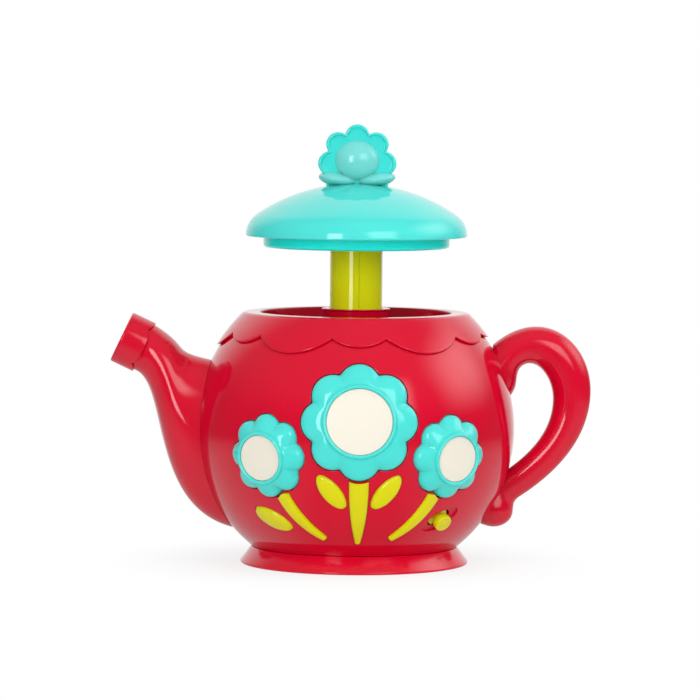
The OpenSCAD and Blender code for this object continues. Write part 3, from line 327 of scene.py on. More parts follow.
# materials with one pattern: its node, settings and output, the two colours and the two roughnesses
# that it runs between, and what else the shader is told
patternLooks = dict(
    # pressed silicone: soft sheen, talc bloom in patches of a few millimetres
    greyRubber=dict(kind="ShaderNodeTexNoise", pattern={"Scale": 1 / (3 * mm), "Detail": 3}, give=0,
                    colours=("#55585c", "#6a6d70"), rough=(0.6, 0.6), shader={"IOR": 1.43}),
    # zinc-plated steel: bright, with a faint spangle of about 2 mm
    platedSteel=dict(kind="ShaderNodeTexVoronoi", pattern={"Scale": 1 / (2 * mm)}, give=0,
                     colours=("#c3c6c9", "#adb1b6"), rough=(0.24, 0.36), shader={"Metallic": 1}),
    # stove-enamelled frame and paper cone: satin black with fibres of about 1 mm
    speakerPaint=dict(kind="ShaderNodeTexNoise", pattern={"Scale": 1 / (1 * mm), "Detail": 5}, give=0,
                      colours=("#1d1d1f", "#333336"), rough=(0.55, 0.55), shader={}),
    # rolled steel can under a clear lacquer, drawn along its length every 0.4 mm
    batteryCan=dict(kind="ShaderNodeTexWave", pattern={
        "wave_type": "BANDS", "bands_direction": "Z", "Scale": 1 / (0.4 * mm) / 20, "Distortion": 2},
        give="Fac", colours=("#b9bcc0", "#a6a9ad"), rough=(0.3, 0.3), shader={"Metallic": 1}),
)


def patterned(name):
    look = patternLooks[name]
    material, tree, place = newMaterial(name)
    pattern = addNode(tree, look["kind"], look["pattern"], {"Vector": place}).outputs[look["give"]]
    first, second = (linear(code) for code in look["colours"])
    tint = addNode(tree, "ShaderNodeMix", {"data_type": "RGBA", 6: first, 7: second}, {0: pattern})
    rough = addNode(tree, "ShaderNodeMapRange", {
        "To Min": look["rough"][0], "To Max": look["rough"][1]}, {"Value": pattern})
    return finished(material, tree, look["shader"], {"Base Color": tint.outputs[2], "Roughness": rough})


plastics = {name: mouldedAbs(name, look) for name, look in absLooks.items()}
finishOf = {
    "red_abs": plastics["redAbs"], "turquoise_abs": plastics["turquoiseAbs"],
    "lime_abs": plastics["limeAbs"], "cream_abs": plastics["creamAbs"],
    "black_nylon": blackNylon(), "circuit_board": circuitBoard(), "grey_rubber": patterned("greyRubber"),
    "plated_steel": patterned("platedSteel"), "speaker_steel": patterned("speakerPaint"),
    "battery_can": patterned("batteryCan")}
for name, node in frame["nodes"].items():
    node.data.materials.clear()
    node.data.materials.append(finishOf[slotOf[name]])
print("materials made:", len(finishOf))


# modelling helpers, in millimetres
def arc(middle, radius, first, last, count):
    # points of an arc in a half section, angles in degrees
    angles = [radians(first + (last - first) * k / count) for k in range(count + 1)]
    return [(middle[0] + radius * cos(a), middle[1] + radius * sin(a)) for a in angles]


def closed(bm):
    bmesh.ops.holes_fill(bm, edges=[e for e in bm.edges if e.is_boundary], sides=0)


def spun(section, steps, sweep=360):
    # a closed half section of (radius, height) points turned about Z
    bm = bmesh.new()
    verts = [bm.verts.new((r, 0, z)) for r, z in section]
    edges = [bm.edges.new(pair) for pair in zip(verts, verts[1:] + verts[:1])]
    bmesh.ops.spin(bm, geom=verts + edges, cent=(0, 0, 0), axis=(0, 0, 1), angle=radians(sweep),
                   steps=steps, use_merge=sweep == 360)
    bmesh.ops.remove_doubles(bm, verts=bm.verts, dist=0.001)
    if sweep < 360:
        closed(bm)
    bmesh.ops.recalc_face_normals(bm, faces=bm.faces)
    return bm


def skinned(rings):
    # closed rings of points joined one after another, both ends filled
    bm = bmesh.new()
    loop = bmesh.ops.create_circle(bm, segments=len(rings[0]), radius=1)["verts"]
    order = {vert: k for k, vert in enumerate(loop)}
    for vert, k in order.items():
        vert.co = rings[0][k]
    edges = list(bm.edges)
    for ring in rings[1:]:
        grown = bmesh.ops.extrude_edge_only(bm, edges=edges)["geom"]
        spots = {}
        for vert in (g for g in grown if isinstance(g, bmesh.types.BMVert)):
            before = next(e.other_vert(vert) for e in vert.link_edges if e.other_vert(vert) in order)
            spots[vert] = order[before]
        for vert, k in spots.items():
            vert.co = ring[k]
        edges = [g for g in grown if isinstance(g, bmesh.types.BMEdge) and all(v in spots for v in g.verts)]
        order = spots
    closed(bm)
    bmesh.ops.remove_doubles(bm, verts=bm.verts, dist=0.001)
    bmesh.ops.recalc_face_normals(bm, faces=bm.faces)
    return bm


def moved(bm, matrix):
    bmesh.ops.transform(bm, matrix=matrix, verts=bm.verts)
    return bm


def helper(bm):
    mesh = bpy.data.meshes.new("helper")
    bm.to_mesh(mesh)
    bm.free()
    thing = bpy.data.objects.new("helper", mesh)
    scene.collection.objects.link(thing)
    return thing


def joined(parts):
    whole = bmesh.new()
    for part in parts:
        mesh = bpy.data.meshes.new("helper")
        part.to_mesh(mesh)
        part.free()
        whole.from_mesh(mesh)
        bpy.data.meshes.remove(mesh)
    return whole


def combined(bm, others, operation="DIFFERENCE"):
    # one exact Boolean with parts that don't touch each other, on throwaway objects
    things = [helper(bm), helper(joined(others))]
    cut = things[0].modifiers.new("cut", "BOOLEAN")
    cut.object, cut.operation, cut.solver = things[1], operation, "EXACT"
    bpy.context.view_layer.update()
    result = bmesh.new()
    result.from_object(things[0], bpy.context.evaluated_depsgraph_get())
    for thing in things:
        bpy.data.meshes.remove(thing.data)
    bmesh.ops.remove_doubles(result, verts=result.verts, dist=0.001)
    return result


def halved(bm, side, gap=0.05):
    # keeps the front (-1) or back (1) half and closes the cut
    bmesh.ops.bisect_plane(bm, geom=bm.verts[:] + bm.edges[:] + bm.faces[:], dist=0.0001,
                           plane_co=(0, side * gap, 0), plane_no=(0, -side, 0), clear_outer=True)
    closed(bm)
    return bm


def addPiece(bm, body, *replaced, sharp=30, finish=None):
    # named like its node, front_shell as frontShell
    first, *others = replaced[0].split("_")
    name = first + "".join(word.title() for word in others)
    bmesh.ops.scale(bm, vec=(mm, mm, mm), verts=bm.verts)
    bmesh.ops.recalc_face_normals(bm, faces=bm.faces)
    mesh = bpy.data.meshes.new(name)
    bm.to_mesh(mesh)
    bm.free()
    mesh.shade_smooth()
    mesh.set_sharp_from_angle(angle=radians(sharp))
    mesh.materials.append(finish or finishOf[slotOf[replaced[0]]])
    piece = bpy.data.objects.new(name, mesh)
    scene.collection.objects.link(piece)
    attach(piece, body)
    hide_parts(*replaced)
    return piece


def addHalves(name, bm):
    for side, half in ((-1, "front"), (1, "back")):
        addPiece(halved(bm.copy(), side), "pot", name + "_" + half)
    bm.free()


# the pot's own form: a sphere above its widest level, a rounder belly below
pot = dict(radius=76.5, belly=71.5, middle=64.523, wall=2.6, low=8.4, rim=120.627, skirt=1.3)
pot["bellyIn"] = pot["radius"] - pot["belly"]


def potGap(p):
    # distance from the pot's surface, positive outside
    across, up = hypot(p.x, p.y), p.z - pot["middle"]
    if up >= 0:
        return hypot(across, up) - pot["radius"]
    return hypot(across - pot["bellyIn"], up) - pot["belly"]


def potNormal(p):
    across, up = hypot(p.x, p.y), p.z - pot["middle"]
    flat = 1 if up >= 0 else (across - pot["bellyIn"]) / max(across, 0.001)
    return Vector((p.x * flat, p.y * flat, up)).normalized()


def potAt(grow, z):
    # the pot's half section at one height
    up = z - pot["middle"]
    if up < 0:
        return (pot["bellyIn"] + sqrt((pot["belly"] + grow) ** 2 - up * up), z)
    return (sqrt((pot["radius"] + grow) ** 2 - up * up), z)


def potArc(grow, low, high, count=40):
    # the pot's half section between two heights, upwards
    points = []
    for k in range(count + 1):
        turn = pi / 2 * (2 * k / count - 1)
        small = turn < 0
        radius = (pot["belly"] if small else pot["radius"]) + grow
        points.append(((pot["bellyIn"] if small else 0) + radius * cos(turn),
                       pot["middle"] + radius * sin(turn)))
    return [potAt(grow, low)] + [q for q in points if low + 0.3 < q[1] < high - 0.3] + [potAt(grow, high)]


def onBody(turn, tilt):
    # frame on the upper sphere: Z out of the pot, Y up along it
    return (Matrix.Translation((0, 0, pot["middle"])) @ Matrix.Rotation(radians(turn), 4, "Z")
            @ Matrix.Rotation(radians(90 - tilt), 4, "X") @ Matrix.Translation((0, 0, pot["radius"])))


def onBelly(turn, tilt, spin=0):
    return (Matrix.Translation((0, 0, pot["middle"])) @ Matrix.Rotation(radians(turn), 4, "Z")
            @ Matrix.Translation((0, -pot["bellyIn"], 0)) @ Matrix.Rotation(radians(90 - tilt), 4, "X")
            @ Matrix.Translation((0, 0, pot["belly"])) @ Matrix.Rotation(radians(spin), 4, "Z"))


def laid(place, x, y, height):
    # the point over (x, y) of a frame that stands that high over the pot's surface
    along = place.to_3x3() @ Vector((0, 0, 1))
    p = place @ Vector((x, y, 0))
    for k in range(5):
        p = p - along * ((potGap(p) - height) / potNormal(p).dot(along))
    return p


def softMax(a, b, reach):
    h = max(reach - abs(a - b), 0) / reach
    return max(a, b) + h * h * reach / 4


petalCount = 8


def flowerEdge(turn, size, lobe, grow=0, notch=1.2):
    # distance from the flower's middle to its outline, with soft notches between the petals
    step = 2 * pi / petalCount
    off = (turn - pi / 2 + step / 2) % step - step / 2
    reach = size - lobe

    def toLobe(angle):
        inside = (lobe + grow) ** 2 - (reach * sin(angle)) ** 2
        return reach * cos(angle) + sqrt(inside) if inside > 0 else 0
    return softMax(toLobe(off), toLobe(step - abs(off)), notch)


def petalOff(turn):
    # 0 in the middle of a petal, 1 in the valley between two
    step = 2 * pi / petalCount
    return abs((turn - pi / 2 + step / 2) % step - step / 2) / (step / 2)


def circleTurns(count):
    return [2 * pi * k / count for k in range(count)]


# flowers
sideFlower = dict(tilt=-6, size=19.6, lobe=7.3, disc=10.7, rise=5.0, root=3.9, edge=0.6,
                  valley=1.3, fall=1.3)
flowers = dict(
    centre=dict(turn=0, tilt=7, size=27.1, lobe=10.1, disc=15.4, rise=1.6, root=0.75, edge=0.5,
                valley=0.42, fall=1.6),
    left=dict(turn=-34.6, **sideFlower),
    right=dict(turn=34.6, **sideFlower),
)
petalForm = dict(ring=1.8, bead=0.86, gap=0.28, lip=0.55, proud=1.3, round=1.5, steps=160, start=0.15,
                 discFit=0.2, discSeat=2, discThick=1.85, discEdge=0.4, plunger=3, plungerEnd=-14)


def flowerPlace(name):
    return onBody(flowers[name]["turn"], flowers[name]["tilt"])


def makePetals(name):
    look, place = flowers[name], flowerPlace(name)
    turns = circleTurns(petalForm["steps"])
    ends = [flowerEdge(a, look["size"], look["lobe"]) for a in turns]
    bead, edge = petalForm["bead"], petalForm["round"]
    hub = look["disc"] + petalForm["ring"]
    sag = pot["radius"] - sqrt(pot["radius"] ** 2 - look["size"] ** 2)
    low = -sag - pot["wall"]
    tip = petalForm["proud"] - sag + look["edge"]

    def ring(radii, heights):
        return [place @ Vector((r * cos(a), r * sin(a), z)) for r, a, z in zip(radii, turns, heights)]
    # up the disc's seat, over the bead and down to where the petals start
    plain = [(look["disc"] + petalForm["discFit"], look["rise"] - petalForm["discSeat"])]
    for t in (200, 180, 160, 140, 120, 100, 80, 60, 40, 20, 0, -25):
        plain.append((hub - bead + bead * cos(radians(t)),
                      look["rise"] + bead * sin(radians(t))))
    rings = [ring([r] * len(turns), [z] * len(turns)) for r, z in plain]
    start = hub + petalForm["start"]
    for share in (0, 0.06, 0.14, 0.24, 0.35, 0.46, 0.57, 0.67, 0.76, 0.83, 0.89, 0.93, 0.96, 0.982, 0.995, 1):
        radii, heights = [], []
        for a, end in zip(turns, ends):
            r = start + (end - start) * share
            z = look["root"] + (tip - look["root"]) * share ** look["fall"]
            z -= look["valley"] * petalOff(a) ** 2.4 * min(share * 1.5, 1) ** 1.2
            left = end - r
            if left < edge:
                z -= edge - sqrt(edge ** 2 - (edge - left) ** 2)
            radii.append(r)
            heights.append(z)
        rings.append(ring(radii, heights))
    rings.append(ring(ends, [low] * len(turns)))
    bm = skinned(rings)
    bmesh.ops.create_cone(bm, cap_ends=True, segments=48, radius1=petalForm["plunger"],
                          radius2=petalForm["plunger"], depth=low - petalForm["plungerEnd"],
                          matrix=place @ Matrix.Translation((0, 0, (low + petalForm["plungerEnd"]) / 2)))
    addPiece(bm, name + "_button", name + "_petals", sharp=38)


def makeDisc(name):
    look, edge = flowers[name], petalForm["discEdge"]
    low, high = look["rise"] - petalForm["discThick"], look["rise"]
    section = [(0, low), (look["disc"], low)]
    section += arc((look["disc"] - edge, high - edge), edge, 0, 90, 5) + [(0, high)]
    addPiece(moved(spun(section, 128), flowerPlace(name)), name + "_button", name + "_disc")


def flatRing(place, points, level):
    return [place @ Vector((x, y, level)) for x, y in points]


def lipRings(place, outline, gap, lip):
    # the rounded lip of a hole, which follows the pot; outline gives the hole's points, grown
    rings = []
    for t in (0, 20, 40, 60, 76):
        grown = outline(gap + lip * (1 - cos(radians(t))))
        rings.append([laid(place, x, y, lip * (sin(radians(t)) - 1)) for x, y in grown])
    rings.append([laid(place, x, y, 0.3) for x, y in outline(gap + lip * 1.05)])
    return rings


def flowerCutter(name, gap, lip):
    look, place, turns = flowers[name], flowerPlace(name), circleTurns(petalForm["steps"])

    def outline(grow):
        reach = [flowerEdge(a, look["size"], look["lobe"], grow) for a in turns]
        return [(r * cos(a), r * sin(a)) for r, a in zip(reach, turns)]
    return skinned([flatRing(place, outline(gap), -13)] + lipRings(place, outline, gap, lip)
                   + [flatRing(place, outline(gap + lip * 1.2), 9)])


for flower in flowers:
    makePetals(flower)
    makeDisc(flower)
print("flowers modelled")


# stems and leaves: flat-topped pillows seated in the pot
inlay = dict(deep=0.95, proud=1.7, square=3.2, leafRound=0.12, tip=3.0, taper=2.4,
             fit=0.12, seatDeep=1.05, seatHigh=2.5, flowerGap=1.35)
leaves = dict(
    centre_left_leaf=dict(turn=-10.2, tilt=-19.6, spin=-53.5, length=20.5, width=9.2),
    centre_right_leaf=dict(turn=10.2, tilt=-19.6, spin=53.5, length=20.5, width=9.2),
    left_leaf=dict(turn=-37, tilt=-32.5, spin=-30, length=20.5, width=10.4))
sideStem = dict(tilt=-30, wide=6.8, length=20, line=((-0.48, 0.75), (-0.2, -0.03), (0.395, -0.645)))
stems = dict(
    centre_stem=dict(turn=0, tilt=-27, flip=1, wide=9.4, length=1, line=((0, 16.2), (0, 0), (0, -18.5)),
                     flower="centre"),
    left_stem=dict(turn=-23, flip=1, flower="left", **sideStem),
    right_stem=dict(turn=23, flip=-1, flower="right", **sideStem))


def leafStations(length, width, grow=0, count=30):
    # (middle, sideways, half width, share of full height) along a leaf
    stations = []
    for k in range(count + 1):
        s = -cos(pi * k / count)
        half = (width / 2 + grow) * sqrt(max(1 - s * s, 0)) * (1 - inlay["leafRound"] * s * s)
        share = sqrt(max(1 - s ** 6, 0))
        stations.append((Vector(((length / 2 + grow) * s, 0)), Vector((0, 1)), half, share))
    return stations


def stemStations(stem, grow=0, count=34, tipCount=10):
    a, b, c = (Vector((p[0] * stem["length"] * stem["flip"], p[1] * stem["length"])) for p in stem["line"])
    tip = inlay["tip"] / 2 + grow
    stations = []
    for k in range(count + 1):
        t = k / count
        along = ((b - a) * (1 - t) + (c - b) * t).normalized()
        half = tip + (stem["wide"] - inlay["tip"]) / 2 * (1 - t ** inlay["taper"])
        spot = a * (1 - t) ** 2 + b * 2 * t * (1 - t) + c * t * t
        stations.append((spot, Vector((-along.y, along.x)), half, 1))
    for k in range(1, tipCount + 1):
        q = sin(pi / 2 * k / tipCount)
        stations.append((c + along * tip * q, Vector((-along.y, along.x)), tip * sqrt(max(1 - q * q, 0)),
                         sqrt(max(1 - q ** 6, 0))))
    return stations


def pillow(place, stations, count=26):
    full, power = inlay["deep"] + inlay["proud"], 2 / inlay["square"]
    rings = []
    for middle, side, half, share in stations:
        ring = []
        for k in range(count + 1):
            b = pi * k / count
            across = -half * copysign(abs(cos(b)) ** power, cos(b))
            spot = middle + side * across
            height = full * share * max(sin(b), 0) ** power - inlay["deep"]
            ring.append(laid(place, spot.x, spot.y, height))
        rings.append(ring)
    return skinned(rings)


def seatCutter(place, stations):
    low, high = -inlay["seatDeep"], inlay["seatHigh"]
    rings = []
    for middle, side, half, share in stations:
        half = max(half, 0.02)
        corners = ((-half, low), (-half, high), (half, high), (half, low))
        rings.append([laid(place, *(middle + side * x), z) for x, z in corners])
    return skinned(rings)


leafSeats, stemSeats = [], []
for name, leaf in leaves.items():
    place = onBelly(leaf["turn"], leaf["tilt"], leaf["spin"])
    addPiece(pillow(place, leafStations(leaf["length"], leaf["width"])), "pot", name)
    leafSeats.append(seatCutter(place, leafStations(leaf["length"], leaf["width"], inlay["fit"])))
for name, stem in stems.items():
    place = onBelly(stem["turn"], stem["tilt"])
    # the stem stops at its flower's opening
    opening = flowerCutter(stem["flower"], inlay["flowerGap"], 0.1)
    addPiece(combined(pillow(place, stemStations(stem)), [opening]), "pot", name)
    stemSeats.append(seatCutter(place, stemStations(stem, inlay["fit"])))
print("stems and leaves modelled")


# power slider in its leaf-shaped dish
slider = dict(turn=36.7, tilt=-32.6, spin=31, dishLength=20, dishWidth=9.8, dishDeep=1.9, lip=0.5, knob=4.2,
              low=0.2, high=3.2, neck=2.6, neckGap=0.4, travel=3, keeper=5, keeperLow=-3.8, keeperHigh=-2.75)
slidePlace = onBelly(slider["turn"], slider["tilt"], slider["spin"])


def dishCutters():
    def outline(grow):
        points = []
        for a in circleTurns(96):
            c, s = cos(a), sin(a)
            points.append(((slider["dishLength"] / 2 + grow) * copysign(abs(c) ** 0.9, c),
                           (slider["dishWidth"] / 2 + grow) * copysign(abs(s) ** 1.25, s)))
        return points
    lip, deep = slider["lip"], slider["dishDeep"]
    dish = [flatRing(slidePlace, outline(grow), level - deep)
            for grow, level in ((-0.5, 0), (-0.15, 0.12), (0, 0.45))]
    dish += lipRings(slidePlace, outline, 0, lip) + [flatRing(slidePlace, outline(lip * 1.2), 6)]
    width = slider["neck"] + slider["neckGap"]
    slot = []
    for a in circleTurns(64):
        shift = slider["travel"] if cos(a) > 0 else -slider["travel"]
        slot.append((shift + width * cos(a), width * sin(a)))
    return [skinned(dish), skinned([flatRing(slidePlace, slot, level) for level in (-6, 0.2)])]


def makeSlider():
    r, neck, low, high = slider["knob"], slider["neck"], slider["low"], slider["high"]
    keeper, keeperLow, keeperHigh = slider["keeper"], slider["keeperLow"], slider["keeperHigh"]
    section = [(0, keeperLow), (keeper, keeperLow), (keeper, keeperHigh), (neck, keeperHigh), (neck, low)]
    section += arc((r - 0.35, low + 0.35), 0.35, -90, 0, 4) + arc((r - 0.8, high - 0.8), 0.8, 0, 78, 7)
    # a shallow ring around a slightly raised middle
    section += [(r - 1.35, high - 0.02), (r - 1.7, high - 0.25), (r - 2.1, high - 0.22),
                (r - 2.5, high + 0.02), (1, high + 0.12), (0, high + 0.14)]
    addPiece(moved(spun(section, 72), slidePlace), "power_slider", "power_knob")


makeSlider()
print("power slider modelled")


# the two halves of the pot
shell = dict(steps=100, seam=0.22, top=117.827, screwX=52.02, screwUp=25.47, screwDown=30.6, screwDeep=8,
             screwHead=3.15, screwWell=3.8, grilleTilt=-10, grillePitch=5, grilleHole=1.3)
screwSpots = [(x, up) for x in (-shell["screwX"], shell["screwX"])
              for up in (shell["screwUp"], -shell["screwDown"])]


def screwAxis(x, up):
    # frame of a case screw: Z runs to the back
    return Matrix.Translation((x, 0, pot["middle"] + up)) @ Matrix.Rotation(-pi / 2, 4, "X")


def shellHalf(side):
    outer = potArc(0, pot["low"], shell["top"], 64)
    inner = potArc(-pot["wall"], pot["low"], shell["top"], 32)
    bm = spun(outer + inner[::-1], shell["steps"], 180)
    if side < 0:
        bmesh.ops.rotate(bm, cent=(0, 0, 0), matrix=Matrix.Rotation(pi, 3, "Z"), verts=bm.verts)
    # the parting line's outer edges are broken, so that the two halves show a fine groove
    edges = [e for e in bm.edges if all(abs(v.co.y) < 0.001 and potGap(v.co) > -0.01 for v in e.verts)
             and abs(e.verts[0].co.z - e.verts[1].co.z) > 0.001]
    bmesh.ops.bevel(bm, geom=edges, offset=shell["seam"], offset_type="OFFSET", affect="EDGES", segments=2,
                    profile=0.5, material=-1)
    return bm


def frontForm():
    openings = [flowerCutter(name, petalForm["gap"], petalForm["lip"]) for name in flowers]
    dish, slot = dishCutters()
    bm = combined(shellHalf(-1), openings + leafSeats + [dish])
    return combined(bm, stemSeats + [slot])


def backCutters():
    holes = []
    place, r, pitch = onBody(180, shell["grilleTilt"]), shell["grilleHole"], shell["grillePitch"]
    grille = [(0, -8), (r, -8), (r, -0.75), (r + 0.12, -0.4), (r + 0.42, -0.05), (r + 0.9, 0.35), (0, 0.35)]
    for ring in range(3):
        for k in range(max(6 * ring, 1)):
            a = radians(60 * k / max(ring, 1))
            spot = place @ Matrix.Translation((ring * pitch * cos(a), ring * pitch * sin(a), 0))
            lift = (spot.inverted() @ laid(spot, 0, 0, 0)).z
            holes.append(moved(spun(grille, 32), spot @ Matrix.Translation((0, 0, lift))))
    deep, head = shell["screwDeep"], shell["screwHead"]
    for x, up in screwSpots:
        holes.append(moved(spun([(0, deep), (head, deep), (head, 90), (0, 90)], 40), screwAxis(x, up)))
    return holes


def keepForm(piece):
    # the cuts leave long thin faces, so the pot's true normals are stored on its outer surface
    mesh = piece.data
    normals = [corner.vector.copy() for corner in mesh.corner_normals]
    for face in mesh.polygons:
        middle = face.center / mm
        if potGap(middle) > -0.1 and face.normal.dot(potNormal(middle)) > 0.995:
            for corner in face.loop_indices:
                normals[corner] = potNormal(mesh.vertices[mesh.loops[corner].vertex_index].co / mm)
    mesh.normals_split_custom_set(normals)


def screwWells():
    # tubes that the case screws sit in, seen down the recesses at the back
    wells, r = [], shell["screwWell"]
    for x, up in screwSpots:
        across = potAt(-pot["wall"] / 2, pot["middle"] + up)[0]
        length = sqrt(across ** 2 - x * x)
        wells.append(moved(spun([(0, 0.1), (r, 0.1), (r, length), (0, length)], 40), screwAxis(x, up)))
    return wells


keepForm(addPiece(frontForm(), "pot", "front_shell"))
backForm = combined(shellHalf(1), screwWells(), "UNION")
keepForm(addPiece(combined(backForm, backCutters()), "pot", "back_shell"))
print("pot halves modelled")


# collar with its scalloped skirt
collar = dict(steps=360, out=77.8, inner=76.65, hemDrop=9, hemEdge=0.5, hemStart=4.2,
              wideTurn=36, wideDrop=6.8, narrowTurn=24, narrowDrop=3.6, handleDrop=2.4,
              rimRound=3.4, rimThick=2.6, lip=0.7, well=45.8, wellDeep=18, wellWall=2.2, wellRound=1.4,
              bore=12.95, tube=15.55, tubeLip=0.8, tubeTop=1.9, tubeLow=33)


def scallopDrop(turn, hemRadius):
    # how far the hem hangs below its points, turn in degrees from the front
    off = (turn + 30) % 60 - 30
    half, drop = collar["narrowTurn"] / 2, collar["narrowDrop"]
    if abs(off) > half:
        off, half, drop = 30 - abs(off), collar["wideTurn"] / 2, collar["wideDrop"]
        if 60 < turn < 120:
            drop = collar["handleDrop"]  # cut short over the handle
    reach = hemRadius * sin(radians(half))
    radius = (reach ** 2 + drop ** 2) / (2 * drop)
    return drop - radius + sqrt(max(radius ** 2 - (hemRadius * sin(radians(off))) ** 2, 0))


def makeCollar():
    rim, mid = pot["rim"], pot["middle"]
    hem, start = rim - collar["hemDrop"], rim - collar["hemStart"]
    out, inner, edge = collar["out"], collar["inner"], collar["hemEdge"]

    def turnAt(radius, z):
        return degrees(asin((z - mid) / radius))
    low, step = turnAt(out, hem), degrees(edge / out)

    def hemPoint(t):
        # the rounded edge of the hem, from its underside to the skirt
        reach = out - edge * (1 - sin(radians(t)))
        up = radians(low + step * (1 - cos(radians(t))))
        return (reach * cos(up), mid + reach * sin(up))
    roundZ = rim - collar["rimRound"]
    roundX = sqrt((out - collar["rimRound"]) ** 2 - (roundZ - mid) ** 2)
    meet = degrees(atan2(roundZ - mid, roundX))
    well, tube, bore, corner = collar["well"], collar["tube"], collar["bore"], collar["wellRound"]
    floor, lip, top = rim - collar["wellDeep"], collar["lip"], rim + collar["tubeTop"]
    lipR, under, wellOut = tube + collar["tubeLip"], floor - collar["wellWall"], well + collar["wellWall"]
    # hem edge, skirt, rim, well, tube, then back along the hidden side
    section = [hemPoint(t) for t in (0, 22, 45, 67, 90)]
    section += arc((0, mid), out, low + step + 0.4, meet, 10)[:-1]
    section += arc((roundX, roundZ), collar["rimRound"], meet, 90, 10)
    section += arc((well + lip, rim - lip), lip, 90, 180, 6)
    section += arc((well - corner, floor + corner), corner, 0, -90, 6)
    section += arc((tube + corner, floor + corner), corner, -90, -180, 6)
    section += [(tube, top - collar["tubeLip"] - 0.35)] + arc((lipR - 0.3, top - 0.45), 0.3, -60, 0, 3)
    section += arc((lipR - 0.35, top - 0.35), 0.35, 0, 90, 5) + arc((bore + 0.4, top - 0.4), 0.4, 90, 180, 5)
    section += [(bore, rim - collar["tubeLow"]), (tube, rim - collar["tubeLow"]), (tube, under),
                (wellOut, under), (wellOut, rim - collar["rimThick"])]
    section += arc((0, mid), inner, turnAt(inner, rim - collar["rimThick"]), turnAt(inner, hem), 8)
    bm = spun(section, collar["steps"])
    # the skirt is drawn down into its scallops
    hemRadius = sqrt(out ** 2 - (hem - mid) ** 2)
    for vert in bm.verts:
        far = hypot(hypot(vert.co.x, vert.co.y), vert.co.z - mid)
        if far < inner - 0.01 or vert.co.z > start:
            continue
        turn = degrees(atan2(vert.co.x, -vert.co.y))
        share = min((start - vert.co.z) / (start - hem - 0.7), 1)
        z = vert.co.z - scallopDrop(turn, hemRadius) * share
        wide = sqrt(far ** 2 - (z - mid) ** 2) / hypot(vert.co.x, vert.co.y)
        vert.co = (vert.co.x * wide, vert.co.y * wide, z)
    addPiece(bm, "pot", "top_collar", sharp=34)


makeCollar()
print("collar modelled")


# foot
foot = dict(top=49.6, high=8.2, out=54.6, round=0.8, inner=44.4, floor=3.4, floorThick=2.4,
            lip=44.8, lipHigh=2.9, lipThick=2.6, screws=43.0, screwHead=3.15, screwTop=5.6,
            doorX=28.05, doorY=22.95, tabX=37.45, tabY=4.7)


def baseScrew(k, z):
    return Matrix.Rotation(radians(45 + 90 * k), 4, "Z") @ Matrix.Translation((foot["screws"], 0, z))


def makeFoot():
    mid = Vector((foot["out"] - foot["round"], foot["round"]))
    top = Vector((foot["top"], foot["high"]))
    lean = atan2(top.y - mid.y, top.x - mid.x) - acos(foot["round"] / (top - mid).length)
    lip, high, inner, floor = foot["lip"], foot["high"], foot["inner"], foot["floor"]
    lipTop, lipIn, floorTop = high + foot["lipHigh"], lip - foot["lipThick"], floor + foot["floorThick"]
    section = [(inner + 0.5, 0)] + arc(mid, foot["round"], -90, degrees(lean), 9)
    section += arc((top.x - 0.3, top.y - 0.3), 0.3, degrees(lean), 90, 4)
    section += [(lip, high), (lip, lipTop), (lipIn, lipTop), (lipIn, floorTop), (0, floorTop), (0, floor),
                (inner - 0.6, floor), (inner, floor - 0.6), (inner, 0.5)]
    x, y, tabX, tabY = foot["doorX"], foot["doorY"], foot["tabX"], foot["tabY"]
    door = [(-x, -y), (x, -y), (x, -tabY), (tabX, -tabY), (tabX, tabY), (x, tabY), (x, y), (-x, y)]
    cutters = [skinned([[Vector((*corner, z)) for corner in door] for z in (2, 6)])]
    head, screwTop = foot["screwHead"], foot["screwTop"]
    hole = [(0, -1), (head, -1), (head, screwTop), (0, screwTop)]
    cutters += [moved(spun(hole, 40), baseScrew(k, 0)) for k in range(4)]
    # the foot takes the lighter red with painted light
    addPiece(combined(spun(section, 192), cutters), "pot", "base", finish=plastics["lightRedAbs"])


makeFoot()
print("foot modelled")


# spout
spout = dict(mouth=(-112.3, 108.223), tilt=25.4, tip=12.8, tipLength=12.3, hem=2.3, hemFade=5,
             neck=11.8, half=20.5, swell=0.6, overlap=4, fit=0.06, bore=10, boreDeep=6, boreCap=1.1,
             upperRoot=(-0.784, 0.405), upperBend=((0.895, 0.314), (0.453, 0.32)),
             lowerRoot=(-0.68, -0.641), lowerBend=((0.9, 0.07), (0.672, 0.93)),
             rings=44, sides=72, seam=0.1)


def bezier(points, t):
    a, b, c, d = points
    return a * (1 - t) ** 3 + b * 3 * t * (1 - t) ** 2 + c * 3 * t * t * (1 - t) + d * t ** 3


def ellipsePoint(lower, upper, half, turn):
    # a point of the upright ellipse between two edge points of the XZ section
    mid, reach = (lower + upper) / 2, (upper - lower) / 2
    return Vector((mid.x + reach.x * cos(turn), half * sin(turn), mid.y + reach.y * cos(turn)))


def clearOfPot(p):
    # distance to the pot, or to the skirt near the rim
    hem = pot["rim"] - collar["hemDrop"] - collar["wideDrop"]
    share = min(max((p.z - hem + 2) / 2, 0), 1)
    return potGap(p) - pot["skirt"] * share


def leavesPot(line, first, last, seam, looks=60):
    # where a line of the skin comes out of the pot, found from its outer end
    inside, outside = first, last
    for k in range(looks + 1):
        t = last + (first - last) * k / looks
        if clearOfPot(line(t)) < seam:
            inside = t
            break
        outside = t
    for k in range(24):
        t = (inside + outside) / 2
        if clearOfPot(line(t)) < seam:
            inside = t
        else:
            outside = t
    return outside


